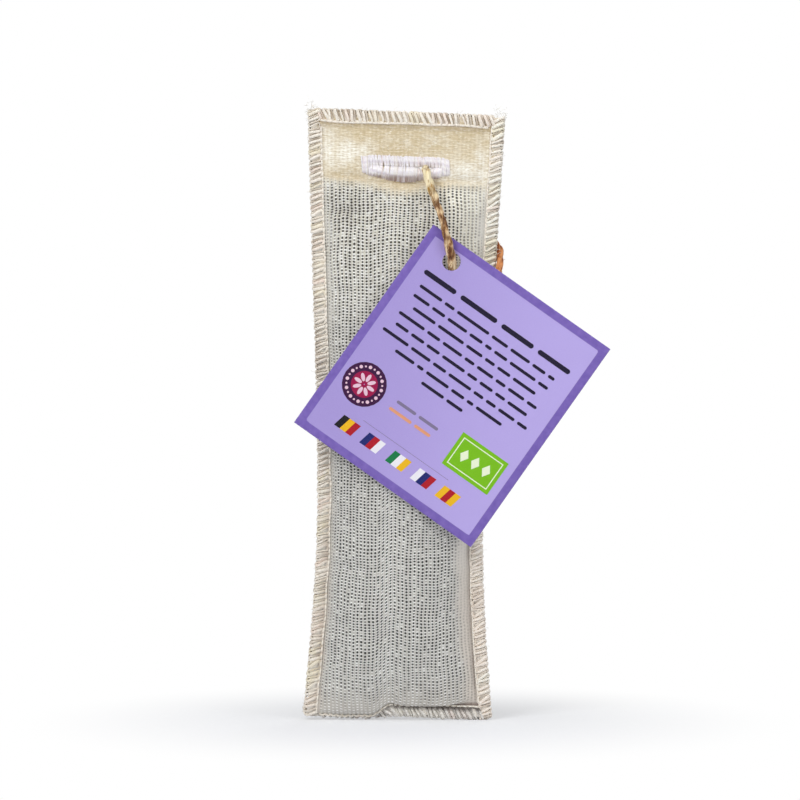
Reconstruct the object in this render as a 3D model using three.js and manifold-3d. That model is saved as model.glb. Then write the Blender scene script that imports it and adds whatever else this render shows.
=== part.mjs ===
// A lavender sachet: two cotton panels overlocked together round a seed filling, a stitched
// slit for a hanger hook in the flat header, and a card tag on a closed loop of jute twine.
// Millimetres, +Z up, the front towards -Y. The origin is the middle of the slit, halfway
// through the cloth.
import * as THREE from 'three';
import { mergeVertices } from 'three/addons/utils/BufferGeometryUtils.js';
import Module from 'manifold-3d';

const wasm = await Module();
wasm.setup();

// Outline of the sewn sachet
const sachetHeight = 181.2;
const topWidth = 59.1;
const shoulderWidth = 55.2;
const waistWidth = 49.4;
const ankleWidth = 51.4;
const bottomWidth = 56.8;
const bottomLean = 2.5; // how far the middle of the bottom edge lies to the left of the slit
const slitBelowTop = 16.5;
const edgeSlopeDegrees = 2.3; // the top and bottom edges and the slit fall to the right
const shoulderShare = 0.23;
const waistShare = 0.68;
const ankleShare = 0.83;

// Cloth and filling
const clothThickness = 0.6;
const layerGap = 0.3;
const fitGap = 0.3;
const frontCrown = 10;
const backCrown = 9;
const slackShare = 0.12; // how much of the crown is missing at the top, where the seeds settle
const widthRoundShare = 2.2;
const widthSteepShare = 0.6;
const heightRoundShare = 4;
const heightSteepShare = 0.55;
const columns = 14;
const bodyRows = 26;

// Overlock seams
const overlockWidth = 3.3;
const threadBulk = 0.45;
const edgeRounding = 0.9;
const needleThread = 0.5;
const threadSides = 6;
const seamRows = 26;

// Hanger slit
const slitLength = 22;
const slitGape = 5;
const slitBand = 1.5; // width of the stitching above and below the slit
const barTack = 2; // width of the stitching past each end of the slit
const slitPoints = 40;
const eyeCorner = 2;
const oblongCorner = 4;

// Twine: one loop from the slit down to the tag, round the right edge and up behind
const twineDiameter = 2.4;
const twineSides = 8;
const twineStep = 4;
const knotRadius = 2.1;
const knotPoints = 42;
const knotSides = 6;
const hingeOverrun = 2;

// Tag
const tagWidth = 64.1;
const tagHeight = 71.7;
const tagThickness = 0.5;
const tagHole = 5.4;
const holeFromLeft = 10.7;
const holeFromTop = 5.9;
const tagTurnDegrees = 35.2;

// The route of the twine, chosen by hand, from the knot over the slit's lower lip to the
// front, through the tag, round the right edge and back to the knot
const twineRoute = [
  [12.2, 8.2, -13.0], [10.2, 7.6, -9.6], [8.0, 5.9, -5.2], [6.7, 3.4, -1.75], [6.1, 0.9, -0.7],
  [6.0, -0.6, -0.7], [6.15, -2.6, -1.3], [6.5, -3.95, -2.8], [7.6, -6.7, -6.7],
  [9.2, -9.9, -11.4], [10.6, -12.5, -15.4], [11.6, -13.3, -19.4], [12.6, -13.4, -23.6],
  [13.2, -13.2, -26.1], [13.4, -12.6, -27.5], [13.6, -11.3, -28.9], [13.8, -10.0, -30.2],
  [14.7, -9.1, -32.0], [16.9, -8.4, -34.1], [20.0, -7.0, -35.4], [23.4, -5.0, -35.6],
  [26.2, -3.8, -34.4], [27.8, -2.4, -32.0], [28.2, -0.8, -29.2], [28.4, 0.9, -26.4],
  [27.9, 2.7, -23.8], [25.8, 4.4, -21.8], [22.8, 5.9, -20.2], [19.6, 7.5, -18.4],
];
const liftStart = [6.5, -3.95, -2.8]; // where the swinging part of the loop leaves the slit
const liftEnd = [28.2, -0.8, -29.2]; // and where it meets the right edge
const tagHang = [13.6, -11.3, -28.9]; // where it runs through the tag
const knotPlace = [15.6, 8.6, -15.8];
const knotThickness = 1.7;

const edgeSlope = Math.tan(THREE.MathUtils.degToRad(edgeSlopeDegrees));
const seamHalf = layerGap / 2 + clothThickness;
const bindingInner = seamHalf + fitGap;
const bindingOuter = bindingInner + threadBulk;
const cutThrough = 2 * bindingOuter; // half the depth of what cuts the slit
const clothInset = threadBulk + fitGap; // from the sewn outline to the cloth's raw edge
const needleInset = overlockWidth + fitGap + needleThread / 2;
const crownInset = overlockWidth + 2 * fitGap + needleThread;
const outlineTop = slitBelowTop;
const outlineBottom = slitBelowTop - sachetHeight;
const crownTop = -(slitGape / 2 + slitBand + fitGap);
const crownBottom = outlineBottom + crownInset;
const twineRadius = twineDiameter / 2;

const halfWidths = new THREE.CubicInterpolant(
  [0, shoulderShare, waistShare, ankleShare, 1],
  [topWidth / 2, shoulderWidth / 2, waistWidth / 2, ankleWidth / 2, bottomWidth / 2],
  1,
);

/** Half the sewn width at a height of the middle line. */
function halfWidth(level) {
  const share = THREE.MathUtils.clamp((outlineTop - level) / sachetHeight, 0, 1);
  return halfWidths.evaluate(share)[0];
}

/** X of the middle line at a height. */
function middleX(level) {
  return (-bottomLean * -level) / (sachetHeight - slitBelowTop);
}

/** A place in the sachet's plane: across is the distance right of the middle line. */
function inPlane(level, across, y) {
  return new THREE.Vector3(middleX(level) + across, y, level - edgeSlope * across);
}

/** How far the crown stands out, at shares across (-1 to 1) and down (0 to 1) the body. */
function crownShare(across, down) {
  if (Math.abs(across) >= 1 || down <= 0 || down >= 1) {
    return 0;
  }
  const width = (1 - Math.abs(across) ** widthRoundShare) ** widthSteepShare;
  const height = (1 - Math.abs(2 * down - 1) ** heightRoundShare) ** heightSteepShare;
  return width * height * (1 - slackShare * (1 - down));
}

/** A point of a panel's inner face, moved outwards along its normal by offset. */
function panelPoint(side, crown, level, across, offset) {
  const reach = halfWidth(level) - crownInset;
  const depth = (x, z) => layerGap / 2
    + crown * crownShare(x / reach, (crownTop - z) / (crownTop - crownBottom));
  const point = inPlane(level, across, side * depth(across, level));
  const normal = new THREE.Vector3(0, side, 0);
  if (depth(across, level) > layerGap / 2) {
    const step = fitGap;
    normal.x = (depth(across - step, level) - depth(across + step, level)) / (2 * step);
    normal.z = (depth(across, level - step) - depth(across, level + step)) / (2 * step);
    normal.normalize();
  }
  return point.addScaledVector(normal, offset);
}

/** Shares from -1 to 1, closer together towards the ends. */
function spread(count) {
  return Array.from({ length: count + 1 }, (_, i) => {
    const even = (2 * i) / count - 1;
    return (even + Math.sin((even * Math.PI) / 2)) / 2;
  });
}

const crownColumns = spread(columns - 2);
const crownLevels = spread(bodyRows).map(
  (share) => crownTop + ((share + 1) / 2) * (crownBottom - crownTop),
);

/** Rows of points over a panel, at an offset from its inner face. */
function panelGrid(side, crown, offset) {
  const levels = [outlineTop - clothInset, 0, ...crownLevels, outlineBottom + clothInset];
  return levels.map((level) => {
    const edge = halfWidth(level) - clothInset;
    const reach = halfWidth(level) - crownInset;
    const places = [-edge, ...crownColumns.map((share) => share * reach), edge];
    return places.map((across) => panelPoint(side, crown, level, across, offset));
  });
}

/** Rows of points over the filling, where the crown leaves room for it. */
function fillingGrid(side, crown) {
  return crownLevels.slice(1, -1).map((level) => {
    const reach = halfWidth(level) - crownInset;
    return crownColumns.slice(1, -1).map(
      (share) => panelPoint(side, crown, level, share * reach, -fitGap),
    );
  });
}

/** A geometry from points and triangles, turned inside out if it faces inwards. */
function facetGeometry(points, triangles) {
  let volume = 0;
  for (const [a, b, c] of triangles) {
    volume += points[a].dot(new THREE.Vector3().crossVectors(points[b], points[c]));
  }
  const faces = volume < 0 ? triangles.map(([a, b, c]) => [a, c, b]) : triangles;
  const geometry = new THREE.BufferGeometry().setFromPoints(points);
  geometry.setIndex(faces.flat());
  geometry.computeVertexNormals();
  return geometry;
}

/** The closed body between two grids of the same size. */
function betweenGrids(near, far) {
  const rows = near.length;
  const width = near[0].length;
  const points = [...near.flat(), ...far.flat()];
  const behind = rows * width;
  const triangles = [];
  for (let r = 0; r + 1 < rows; r += 1) {
    for (let c = 0; c + 1 < width; c += 1) {
      const a = r * width + c;
      const b = a + width;
      triangles.push([a, b, b + 1], [a, b + 1, a + 1]);
      triangles.push([behind + a, behind + b + 1, behind + b]);
      triangles.push([behind + a, behind + a + 1, behind + b + 1]);
    }
  }
  const border = [];
  for (let c = 0; c + 1 < width; c += 1) border.push(c);
  for (let r = 0; r + 1 < rows; r += 1) border.push(r * width + width - 1);
  for (let c = width - 1; c > 0; c -= 1) border.push((rows - 1) * width + c);
  for (let r = rows - 1; r > 0; r -= 1) border.push(r * width);
  border.forEach((a, i) => {
    const b = border[(i + 1) % border.length];
    triangles.push([a, b, behind + b], [a, behind + b, behind + a]);
  });
  return facetGeometry(points, triangles);
}

/** A closed body through rings of points, all with the flat section's order. */
function throughRings(rings, section) {
  const size = section.length;
  const triangles = [];
  for (let r = 0; r + 1 < rings.length; r += 1) {
    for (let i = 0; i < size; i += 1) {
      const a = r * size + i;
      const b = r * size + ((i + 1) % size);
      triangles.push([a, b, b + size], [a, b + size, a + size]);
    }
  }
  const last = (rings.length - 1) * size;
  const turned = THREE.ShapeUtils.isClockWise(section);
  for (const [a, b, c] of THREE.ShapeUtils.triangulateShape(section, [])) {
    const [second, third] = turned ? [c, b] : [b, c];
    triangles.push([a, third, second], [last + a, last + second, last + third]);
  }
  return facetGeometry(rings.flat(), triangles);
}

/** Section of an overlock seam: x from the outline inwards, y through the cloth. */
function bindingSection() {
  const arc = Array.from({ length: 5 }, (_, i) => {
    const turn = -Math.PI / 2 + (i * Math.PI) / 4;
    return new THREE.Vector2(
      edgeRounding * (1 - Math.cos(turn)),
      bindingOuter * Math.sin(turn),
    );
  });
  return [
    ...arc,
    new THREE.Vector2(overlockWidth, bindingOuter),
    new THREE.Vector2(overlockWidth, bindingInner),
    new THREE.Vector2(threadBulk, bindingInner),
    new THREE.Vector2(threadBulk, -bindingInner),
    new THREE.Vector2(overlockWidth, -bindingInner),
    new THREE.Vector2(overlockWidth, -bindingOuter),
  ];
}

/** Round section of a thread, centred at a distance from the outline, on the front. */
function threadSection() {
  const lift = seamHalf + fitGap + needleThread / 2;
  return Array.from({ length: threadSides }, (_, i) => {
    const turn = (2 * Math.PI * i) / threadSides;
    return new THREE.Vector2(
      needleInset + (needleThread / 2) * Math.cos(turn),
      -lift + (needleThread / 2) * Math.sin(turn),
    );
  });
}

/** A section carried down the left (-1) or right (+1) edge, short of both ends by trim. */
function alongSide(side, section, trim) {
  const rings = [];
  for (let i = 0; i <= seamRows; i += 1) {
    const share = i / seamRows;
    const level = THREE.MathUtils.lerp(outlineTop - trim, outlineBottom + trim, share);
    rings.push(section.map(
      (p) => inPlane(level, side * (halfWidth(level) - p.x), p.y),
    ));
  }
  return throughRings(rings, section);
}

/** A section carried along the top (+1) or bottom (-1) edge, short of both ends by trim. */
function alongEnd(end, section, trim) {
  const level = end > 0 ? outlineTop : outlineBottom;
  const reach = halfWidth(level - end * overlockWidth) - trim;
  const rings = [-reach, reach].map(
    (across) => section.map((p) => inPlane(level - end * p.x, across, p.y)),
  );
  return throughRings(rings, section);
}

/** A solid for joining and cutting. */
function solidOf(geometry) {
  const bare = geometry.clone();
  bare.deleteAttribute('normal');
  bare.deleteAttribute('uv');
  const merged = mergeVertices(bare);
  return new wasm.Manifold(new wasm.Mesh({
    numProp: 3,
    vertProperties: new Float32Array(merged.attributes.position.array),
    triVerts: new Uint32Array(merged.index.array),
  }));
}

/** The geometry of a solid. */
function geometryOf(solid) {
  const mesh = solid.getMesh();
  const geometry = new THREE.BufferGeometry();
  geometry.setAttribute('position', new THREE.BufferAttribute(mesh.vertProperties, mesh.numProp));
  geometry.setIndex(new THREE.BufferAttribute(mesh.triVerts, 1));
  geometry.computeVertexNormals();
  return geometry;
}

/** A rounded oblong, or an eye where corner is 2, as a solid through the cloth. */
function slitSolid(halfLength, halfHeight, corner, halfDepth) {
  const outline = Array.from({ length: slitPoints }, (_, i) => {
    const turn = (2 * Math.PI * i) / slitPoints;
    const across = Math.cos(turn);
    const up = Math.sin(turn);
    return new THREE.Vector2(
      halfLength * Math.sign(across) * Math.abs(across) ** (2 / corner),
      halfHeight * up,
    );
  });
  const prism = new THREE.ExtrudeGeometry(new THREE.Shape(outline), {
    depth: 2 * halfDepth, bevelEnabled: false, steps: 1,
  });
  prism.translate(0, 0, -halfDepth);
  prism.rotateX(Math.PI / 2);
  prism.rotateY(Math.atan(edgeSlope));
  return solidOf(prism);
}

/** The slit's opening in the cloth, which leaves room for the thread round its edge. */
function slitCut() {
  const room = threadBulk + fitGap;
  return slitSolid(slitLength / 2 + room, slitGape / 2 + room, eyeCorner, cutThrough);
}

function panel(side, crown) {
  const outer = panelGrid(side, crown, clothThickness);
  const inner = panelGrid(side, crown, 0);
  const sheet = side < 0 ? betweenGrids(outer, inner) : betweenGrids(inner, outer);
  return geometryOf(solidOf(sheet).subtract(slitCut()));
}

/** Thread wound through the slit over both panels: a sleeve with a flange on each face. */
function slitStitching() {
  const length = slitLength / 2;
  const gape = slitGape / 2;
  const whole = slitSolid(length + barTack, gape + slitBand, oblongCorner, bindingOuter);
  const opening = slitSolid(length, gape, eyeCorner, cutThrough);
  const sleeve = slitSolid(length + threadBulk, gape + threadBulk, eyeCorner, cutThrough);
  const reach = 2 * (length + barTack);
  const cloth = slitSolid(reach, reach, eyeCorner, bindingInner).subtract(sleeve);
  return geometryOf(whole.subtract(opening).subtract(cloth));
}

const vector = (place) => new THREE.Vector3(...place);
const route = new THREE.CatmullRomCurve3(twineRoute.map(vector), false, 'centripetal');
route.arcLengthDivisions = 1200;
const routeLength = route.getLength();

/** A stretch of the route between two distances from its start. */
class Stretch extends THREE.Curve {
  constructor(from, to) {
    super();
    this.from = from;
    this.to = to;
  }

  getPoint(share, target = new THREE.Vector3()) {
    const along = THREE.MathUtils.lerp(this.from, this.to, share) / routeLength;
    return route.getPointAt(THREE.MathUtils.clamp(along, 0, 1), target);
  }
}

/** The distance along the route to the point nearest to a place. */
function distanceTo(place) {
  const target = vector(place);
  let best = 0;
  let nearest = Infinity;
  for (let i = 0; i <= route.arcLengthDivisions; i += 1) {
    const share = i / route.arcLengthDivisions;
    const gap = route.getPointAt(share).distanceTo(target);
    if (gap < nearest) {
      nearest = gap;
      best = share * routeLength;
    }
  }
  return best;
}

/** A round cord along a curve. */
function cord(curve) {
  const section = Array.from({ length: twineSides }, (_, i) => {
    const turn = (2 * Math.PI * i) / twineSides;
    return new THREE.Vector2(twineRadius * Math.cos(turn), twineRadius * Math.sin(turn));
  });
  return new THREE.ExtrudeGeometry(new THREE.Shape(section), {
    steps: Math.max(2, Math.ceil(curve.getLength() / twineStep)),
    extrudePath: curve,
    bevelEnabled: false,
  });
}

/** A block that lies along way from half a fit gap before a point of the hinge line. */
function hingeBlock(place, way) {
  const size = 2 * (hingeOverrun + twineDiameter);
  const block = new THREE.BoxGeometry(size, size, size);
  block.translate(0, 0, (size - fitGap) / 2);
  block.applyQuaternion(new THREE.Quaternion().setFromUnitVectors(new THREE.Vector3(0, 0, 1), way));
  block.translate(...place);
  return solidOf(block);
}

const liftWay = vector(liftEnd).sub(vector(liftStart)).normalize();
const liftBack = liftWay.clone().negate();
const startAt = distanceTo(liftStart);
const endAt = distanceTo(liftEnd);

// Both ends of the swinging part are cut square to the hinge line, so their gaps stay the
// same while it swings. At the right edge the loop has turned upwards, back along the line.
function frontLoop() {
  const whole = solidOf(cord(new Stretch(startAt - hingeOverrun, endAt + hingeOverrun)));
  return geometryOf(
    whole.subtract(hingeBlock(liftStart, liftBack)).subtract(hingeBlock(liftEnd, liftBack)),
  );
}

function rearUpper() {
  const whole = solidOf(cord(new Stretch(0, startAt + hingeOverrun)));
  return geometryOf(whole.subtract(hingeBlock(liftStart, liftWay)));
}

function rearLower() {
  const whole = solidOf(cord(new Stretch(endAt - hingeOverrun, routeLength)));
  return geometryOf(whole.subtract(hingeBlock(liftEnd, liftWay)));
}

/** The knot, lying flat against the back, between the loop's two ends. */
function knot() {
  const shape = new THREE.TorusKnotGeometry(
    knotRadius, knotThickness / 2, knotPoints, knotSides, 2, 3,
  );
  shape.rotateX(Math.PI / 2);
  shape.translate(...knotPlace);
  return shape;
}

/** The finish of a matt or softly shining soft material. */
function finish(color, roughness) {
  return new THREE.MeshStandardMaterial({ color, roughness, metalness: 0 });
}

const cloth = finish(0xd9cfb2, 0.95);
const seeds = finish(0x6b6257, 0.9);
const edgeThread = finish(0xe2d2bd, 0.85);
const needle = finish(0xe9ddc8, 0.8);
const slitThread = finish(0xe9e4ec, 0.55);
const jute = finish(0xb08d5c, 0.95);
const card = finish(0xb2a0dc, 0.6);

const sachet = new THREE.Group();

function add(name, geometry, material, place = [0, 0, 0]) {
  const mesh = new THREE.Mesh(geometry, material);
  mesh.name = name;
  mesh.position.set(...place);
  sachet.add(mesh);
  return mesh;
}

add('front_panel', panel(-1, frontCrown), cloth);
add('back_panel', panel(1, backCrown), cloth);
add('seed_filling', betweenGrids(fillingGrid(-1, frontCrown), fillingGrid(1, backCrown)), seeds);

add('left_overlock', alongSide(-1, bindingSection(), 0), edgeThread);
add('right_overlock', alongSide(1, bindingSection(), 0), edgeThread);
add('top_overlock', alongEnd(1, bindingSection(), overlockWidth + fitGap), edgeThread);
add('bottom_overlock', alongEnd(-1, bindingSection(), overlockWidth + fitGap), edgeThread);

add('left_needle_thread', alongSide(-1, threadSection(), overlockWidth + fitGap), needle);
add('right_needle_thread', alongSide(1, threadSection(), overlockWidth + fitGap), needle);
add('top_needle_thread', alongEnd(1, threadSection(), crownInset), needle);
add('bottom_needle_thread', alongEnd(-1, threadSection(), crownInset), needle);

add('hanger_slit_stitching', slitStitching(), slitThread);

add('twine_front_loop', frontLoop(), jute);
add('twine_rear_upper', rearUpper(), jute);
add('twine_rear_lower', rearLower(), jute);
add('twine_knot', knot(), jute);

const tagBack = -(seamHalf + frontCrown + fitGap);
const tagOutline = new THREE.Shape([
  new THREE.Vector2(-holeFromLeft, holeFromTop),
  new THREE.Vector2(-holeFromLeft, holeFromTop - tagHeight),
  new THREE.Vector2(tagWidth - holeFromLeft, holeFromTop - tagHeight),
  new THREE.Vector2(tagWidth - holeFromLeft, holeFromTop),
]);
tagOutline.holes.push(new THREE.Path().absarc(0, 0, tagHole / 2, 0, 2 * Math.PI, true));
const tagCard = new THREE.ExtrudeGeometry(tagOutline, {
  depth: tagThickness, bevelEnabled: false, curveSegments: 24,
});
tagCard.rotateX(Math.PI / 2);
const hangTag = add('hang_tag', tagCard, card, [tagHang[0], tagBack, tagHang[2]]);
hangTag.rotation.y = THREE.MathUtils.degToRad(tagTurnDegrees);

export default sachet;
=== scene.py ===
"""Looks of a lavender sachet: woven cotton over a seed filling, overlocked edges, a stitched
hanger slit, and a printed card tag on a loop of jute twine. Shapes are worked out in
millimetres and become metres when a mesh is made."""
import math

import bpy
import numpy as np
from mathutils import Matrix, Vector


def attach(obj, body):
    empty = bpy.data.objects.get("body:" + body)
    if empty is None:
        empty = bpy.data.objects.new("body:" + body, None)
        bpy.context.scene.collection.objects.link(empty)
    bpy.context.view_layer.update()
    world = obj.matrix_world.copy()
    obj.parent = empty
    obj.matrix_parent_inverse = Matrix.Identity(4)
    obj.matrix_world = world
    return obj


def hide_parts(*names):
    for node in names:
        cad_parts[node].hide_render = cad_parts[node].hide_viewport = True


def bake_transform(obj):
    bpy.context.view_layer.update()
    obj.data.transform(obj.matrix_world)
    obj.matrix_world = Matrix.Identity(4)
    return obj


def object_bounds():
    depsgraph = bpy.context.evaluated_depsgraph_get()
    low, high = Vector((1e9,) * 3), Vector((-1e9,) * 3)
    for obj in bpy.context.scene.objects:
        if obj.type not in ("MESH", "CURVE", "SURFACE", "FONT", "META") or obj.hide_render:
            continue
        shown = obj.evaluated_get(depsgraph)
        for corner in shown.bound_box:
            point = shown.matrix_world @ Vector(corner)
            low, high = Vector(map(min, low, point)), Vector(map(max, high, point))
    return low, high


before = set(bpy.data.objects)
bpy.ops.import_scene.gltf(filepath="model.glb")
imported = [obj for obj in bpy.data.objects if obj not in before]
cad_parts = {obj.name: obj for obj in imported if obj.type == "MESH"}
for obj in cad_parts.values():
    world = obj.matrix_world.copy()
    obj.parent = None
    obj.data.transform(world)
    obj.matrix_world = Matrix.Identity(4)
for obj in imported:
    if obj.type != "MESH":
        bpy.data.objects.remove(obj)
cad_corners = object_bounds()

MM = 0.001
FRONT, BACK = -1, 1

# Seeds of the unevenness and of the random draws
LUMP_SEEDS = {FRONT: 20, BACK: 40}
WANDER_SEED = 91
STRIP_SEED = 61
CREAM_SEED = 62
PALE_SEED = 63
CREASE_SEED = 66
GRAIN_SEED = 70
OVERLOCK_SEED = 200
NEEDLE_SEED = 77
SATIN_SEED = 11
CORD_SEEDS = (101, 102)
KNOT_SEED = 103
TAIL_SEED = 110
FRAY_SEED = 120

# Camera: straight at the front, at the photograph's scale in the plane of the cloth
IMAGE_SIDE = 800
MM_PER_PIXEL = 0.3
ORIGIN_PIXEL = (405.5, 167)
CAMERA_DISTANCE = 900


def add_object(name, data):
    made = bpy.data.objects.new(name, data)
    bpy.context.scene.collection.objects.link(made)
    return made


def add_camera():
    camera = add_object("camera", bpy.data.cameras.new("camera"))
    camera.data.angle = 2 * math.atan(IMAGE_SIDE / 2 * MM_PER_PIXEL / CAMERA_DISTANCE)
    right, down = [(IMAGE_SIDE / 2 - pixel) * MM_PER_PIXEL * MM for pixel in ORIGIN_PIXEL]
    camera.location = (right, -CAMERA_DISTANCE * MM, -down)
    camera.rotation_euler = (math.pi / 2, 0, 0)
    bpy.context.scene.camera = camera


# Meshes

def make_piece(name, points, faces, *materials, smooth=True):
    """A mesh object from points in millimetres."""
    mesh = bpy.data.meshes.new(name)
    mesh.from_pydata((np.asarray(points, float) * MM).tolist(), [], faces)
    for material in materials:
        mesh.materials.append(material)
    mesh.polygons.foreach_set("use_smooth", [smooth] * len(mesh.polygons))
    mesh.update()
    return add_object(name, mesh)


def set_numbers(piece, name, values, kind="FLOAT", field="value"):
    """A number or a vector for each point, for the material to read."""
    layer = piece.data.attributes.new(name, kind, "POINT")
    layer.data.foreach_set(field, np.asarray(values, np.float32).ravel())


def settle(piece, body, slot, *replaced):
    """Attach a piece to the body that it rides on and hide the nodes that it replaces; slot is not used.
    """
    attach(piece, body)
    if replaced:
        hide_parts(*replaced)
    return piece


def unit(vectors):
    return vectors / np.maximum(np.linalg.norm(vectors, axis=-1, keepdims=True), 1e-9)


def distances(path):
    """How far along a path each of its points lies."""
    return np.concatenate([[0], np.cumsum(np.linalg.norm(np.diff(path, axis=0), axis=1))])


def through(points, step):
    """A smooth path through points, with a point about every step."""
    points = np.asarray(points, float)
    padded = np.concatenate([[2 * points[0] - points[1]], points, [2 * points[-1] - points[-2]]])
    parts = []
    for before, start, end, after in zip(padded, padded[1:], padded[2:], padded[3:]):
        way = end - start
        first, gap, last = [np.linalg.norm(v) ** 0.5 for v in (start - before, way, after - end)]
        leave = gap * ((start - before) / first - (end - before) / (first + gap)) + way
        reach = gap * ((after - end) / last - (after - start) / (gap + last)) + way
        count = max(2, int(np.ceil(np.linalg.norm(way) / step)))
        t = (np.arange(count) / count)[:, None]
        parts.append(start + leave * t + (3 * way - 2 * leave - reach) * t ** 2
                     + (leave + reach - 2 * way) * t ** 3)
    return np.concatenate(parts + [points[-1:]])


def evenly(path, step):
    """A path with its points an even distance apart."""
    along = distances(path)
    places = np.linspace(0, along[-1], max(2, int(round(along[-1] / step))) + 1)
    return np.stack([np.interp(places, along, path[:, i]) for i in range(3)], axis=1)


def spread_over(values, count):
    """Values given along a path, for its smoother path of count points."""
    return np.interp(np.linspace(0, len(values) - 1, count), np.arange(len(values)), values)


def graded(start, *stretches):
    """Grid lines from a start through stretches, each given by its end and number of steps."""
    lines = [[start]]
    for end, steps in stretches:
        lines.append(np.linspace(start, end, steps + 1)[1:])
        start = end
    return np.concatenate(lines)


def frames_along(path):
    """Two normals at each point of a path, carried along without twist."""
    tangents = unit(np.gradient(path, axis=0))
    normals = np.zeros_like(path)
    guess = np.array([0.31, 0.87, 0.38])
    for i, tangent in enumerate(tangents):
        guess = guess - tangent * guess.dot(tangent)
        guess = guess / max(np.linalg.norm(guess), 1e-9)
        normals[i] = guess
    return normals, np.cross(tangents, normals)


def rim_of(index):
    """The point numbers round the rim of a grid."""
    return np.concatenate([index[0], index[1:, -1], index[-1, -2::-1], index[-2:0:-1, 0]])


def grid_faces(index):
    """The faces of a grid of point numbers."""
    return np.stack([index[:-1, :-1], index[1:, :-1], index[1:, 1:], index[:-1, 1:]],
                    axis=-1).reshape(-1, 4)


def closed_faces(rows, width):
    """Faces of the closed body between a front and a back grid, and the points of its rim."""
    index = np.arange(rows * width).reshape(rows, width)
    behind = index.size
    front = grid_faces(index)
    sheets = np.stack([front, front[:, [0, 3, 2, 1]] + behind], axis=1).reshape(-1, 4)
    rim = rim_of(index)
    ahead = np.roll(rim, -1)
    sides = np.stack([rim, ahead, ahead + behind, rim + behind], axis=1)
    return sheets.tolist() + sides.tolist(), np.concatenate([rim, rim + behind]).tolist()


def used_points(faces):
    """The points that faces use, and the faces numbered by them."""
    used, numbers = np.unique(faces, return_inverse=True)
    return used, numbers.reshape(np.shape(faces)).tolist()


class Soup:
    """Points, faces and a few numbers per point, gathered for one mesh."""

    def __init__(self):
        self.points = []
        self.faces = []
        self.numbers = {}
        self.count = 0

    def add(self, points, faces, **numbers):
        self.points.append(points)
        self.faces += [[i + self.count for i in face] for face in faces]
        for name, values in numbers.items():
            self.numbers.setdefault(name, []).append(values)
        self.count += len(points)

    def tube(self, path, radius, sides=6, **numbers):
        """A round thread along a path; radius and numbers may differ from point to point."""
        normals, binormals = frames_along(path)
        turns = np.arange(sides) * 2 * np.pi / sides
        rings = (np.cos(turns)[None, :, None] * normals[:, None]
                 + np.sin(turns)[None, :, None] * binormals[:, None])
        radii = np.broadcast_to(radius, len(path))
        points = path[:, None] + radii[:, None, None] * rings
        last = (len(path) - 1) * sides
        faces = [[i + k, i + (k + 1) % sides, i + (k + 1) % sides + sides, i + k + sides]
                 for i in range(0, last, sides) for k in range(sides)]
        faces += [list(range(sides))[::-1], list(range(last, last + sides))]
        numbers = {"along": distances(path), **numbers}
        spread = {name: np.repeat(np.broadcast_to(values, len(path)), sides)
                  for name, values in numbers.items()}
        self.add(points.reshape(-1, 3), faces,
                 around=np.tile(np.arange(sides) / sides, len(path)), **spread)

    def piece(self, name, material, smooth=True):
        made = make_piece(name, np.concatenate(self.points), self.faces, material, smooth=smooth)
        for key, parts in self.numbers.items():
            set_numbers(made, key, np.concatenate(parts))
        return made


def ripple(x, z, wavelength, seed, waves=7):
    """Smooth seeded unevenness, about -1 to 1."""
    random = np.random.default_rng(seed)
    total = 0
    for _ in range(waves):
        turn, phase = random.uniform(0, 2 * np.pi, 2)
        rate = 2 * np.pi / (wavelength * random.uniform(0.7, 1.5))
        total = total + np.sin(rate * (np.cos(turn) * x + np.sin(turn) * z) + phase)
    return total / waves ** 0.5 * 0.8


def bump_at(value, middle, width):
    """1 at the middle, falling smoothly to 0 a few widths away."""
    return np.exp(-((value - middle) / width) ** 2)


def patches_at(across, level, patches):
    """The sum of patches: across, level, how much, and size across and up."""
    return sum(much * bump_at(across, x, wide) * bump_at(level, z, tall)
               for x, z, much, wide, tall in patches)


def smooth_step(value, low, high):
    share = np.clip((value - low) / (high - low), 0, 1)
    return share * share * (3 - 2 * share)


# The sewn outline, read from the line along the outside of the overlock seams

SAME_PLACE = 0.01


def outer_line(node):
    points = np.array([v.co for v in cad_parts[node].data.vertices]) / MM
    edge = points[np.abs(points[:, 1]) < SAME_PLACE]
    edge = edge[np.argsort(-edge[:, 2])]
    return edge[np.concatenate([[True], np.diff(edge[:, 2]) < -SAME_PLACE])]


left_line = outer_line("left_overlock")
right_line = outer_line("right_overlock")
levels = (left_line[:, 2] + right_line[:, 2]) / 2
half_widths = (right_line[:, 0] - left_line[:, 0]) / 2
middles = (right_line[:, 0] + left_line[:, 0]) / 2
slope = (left_line[0, 2] - right_line[0, 2]) / (2 * half_widths[0])
outline_top = levels[0]
outline_bottom = levels[-1]

CLOTH_THICKNESS = 0.6
SEAM_HALF = 0.75
OVERLOCK_WIDTH = 3.3
CLOTH_INSET = 0.75
NEEDLE_INSET = 3.85
FLAT_SIZE = (2 * (half_widths[0] - CLOTH_INSET), outline_top - outline_bottom - 2 * CLOTH_INSET)

# The filled body: where its crown starts and ends, its depth in front and behind, and how much
# of that it loses towards its top
CROWN_INSET = 4.4
CROWN_TOP = -4.3
CROWN_BOTTOM = outline_bottom + CROWN_INSET
CROWN_DEPTHS = {FRONT: 9.7, BACK: 8.7}
SLACK_SHARE = 0.12


def half_width(level):
    return np.interp(-np.asarray(level, float), -levels, half_widths)


# The bottom edge is turned under on its left half: how far the cloth hangs down over it, the
# distance above the edge where it starts to bend, the bend's radius and how far it turns
HANG = 3.7
HANG_FROM = 26
BEND_FROM = 5.4
BEND_RADIUS = 1.6
BEND_TURN = math.radians(165)
TURNED_FROM = -1.5
TURNED_TO = -8.5
LEAST_TURNED = 0.05


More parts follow.
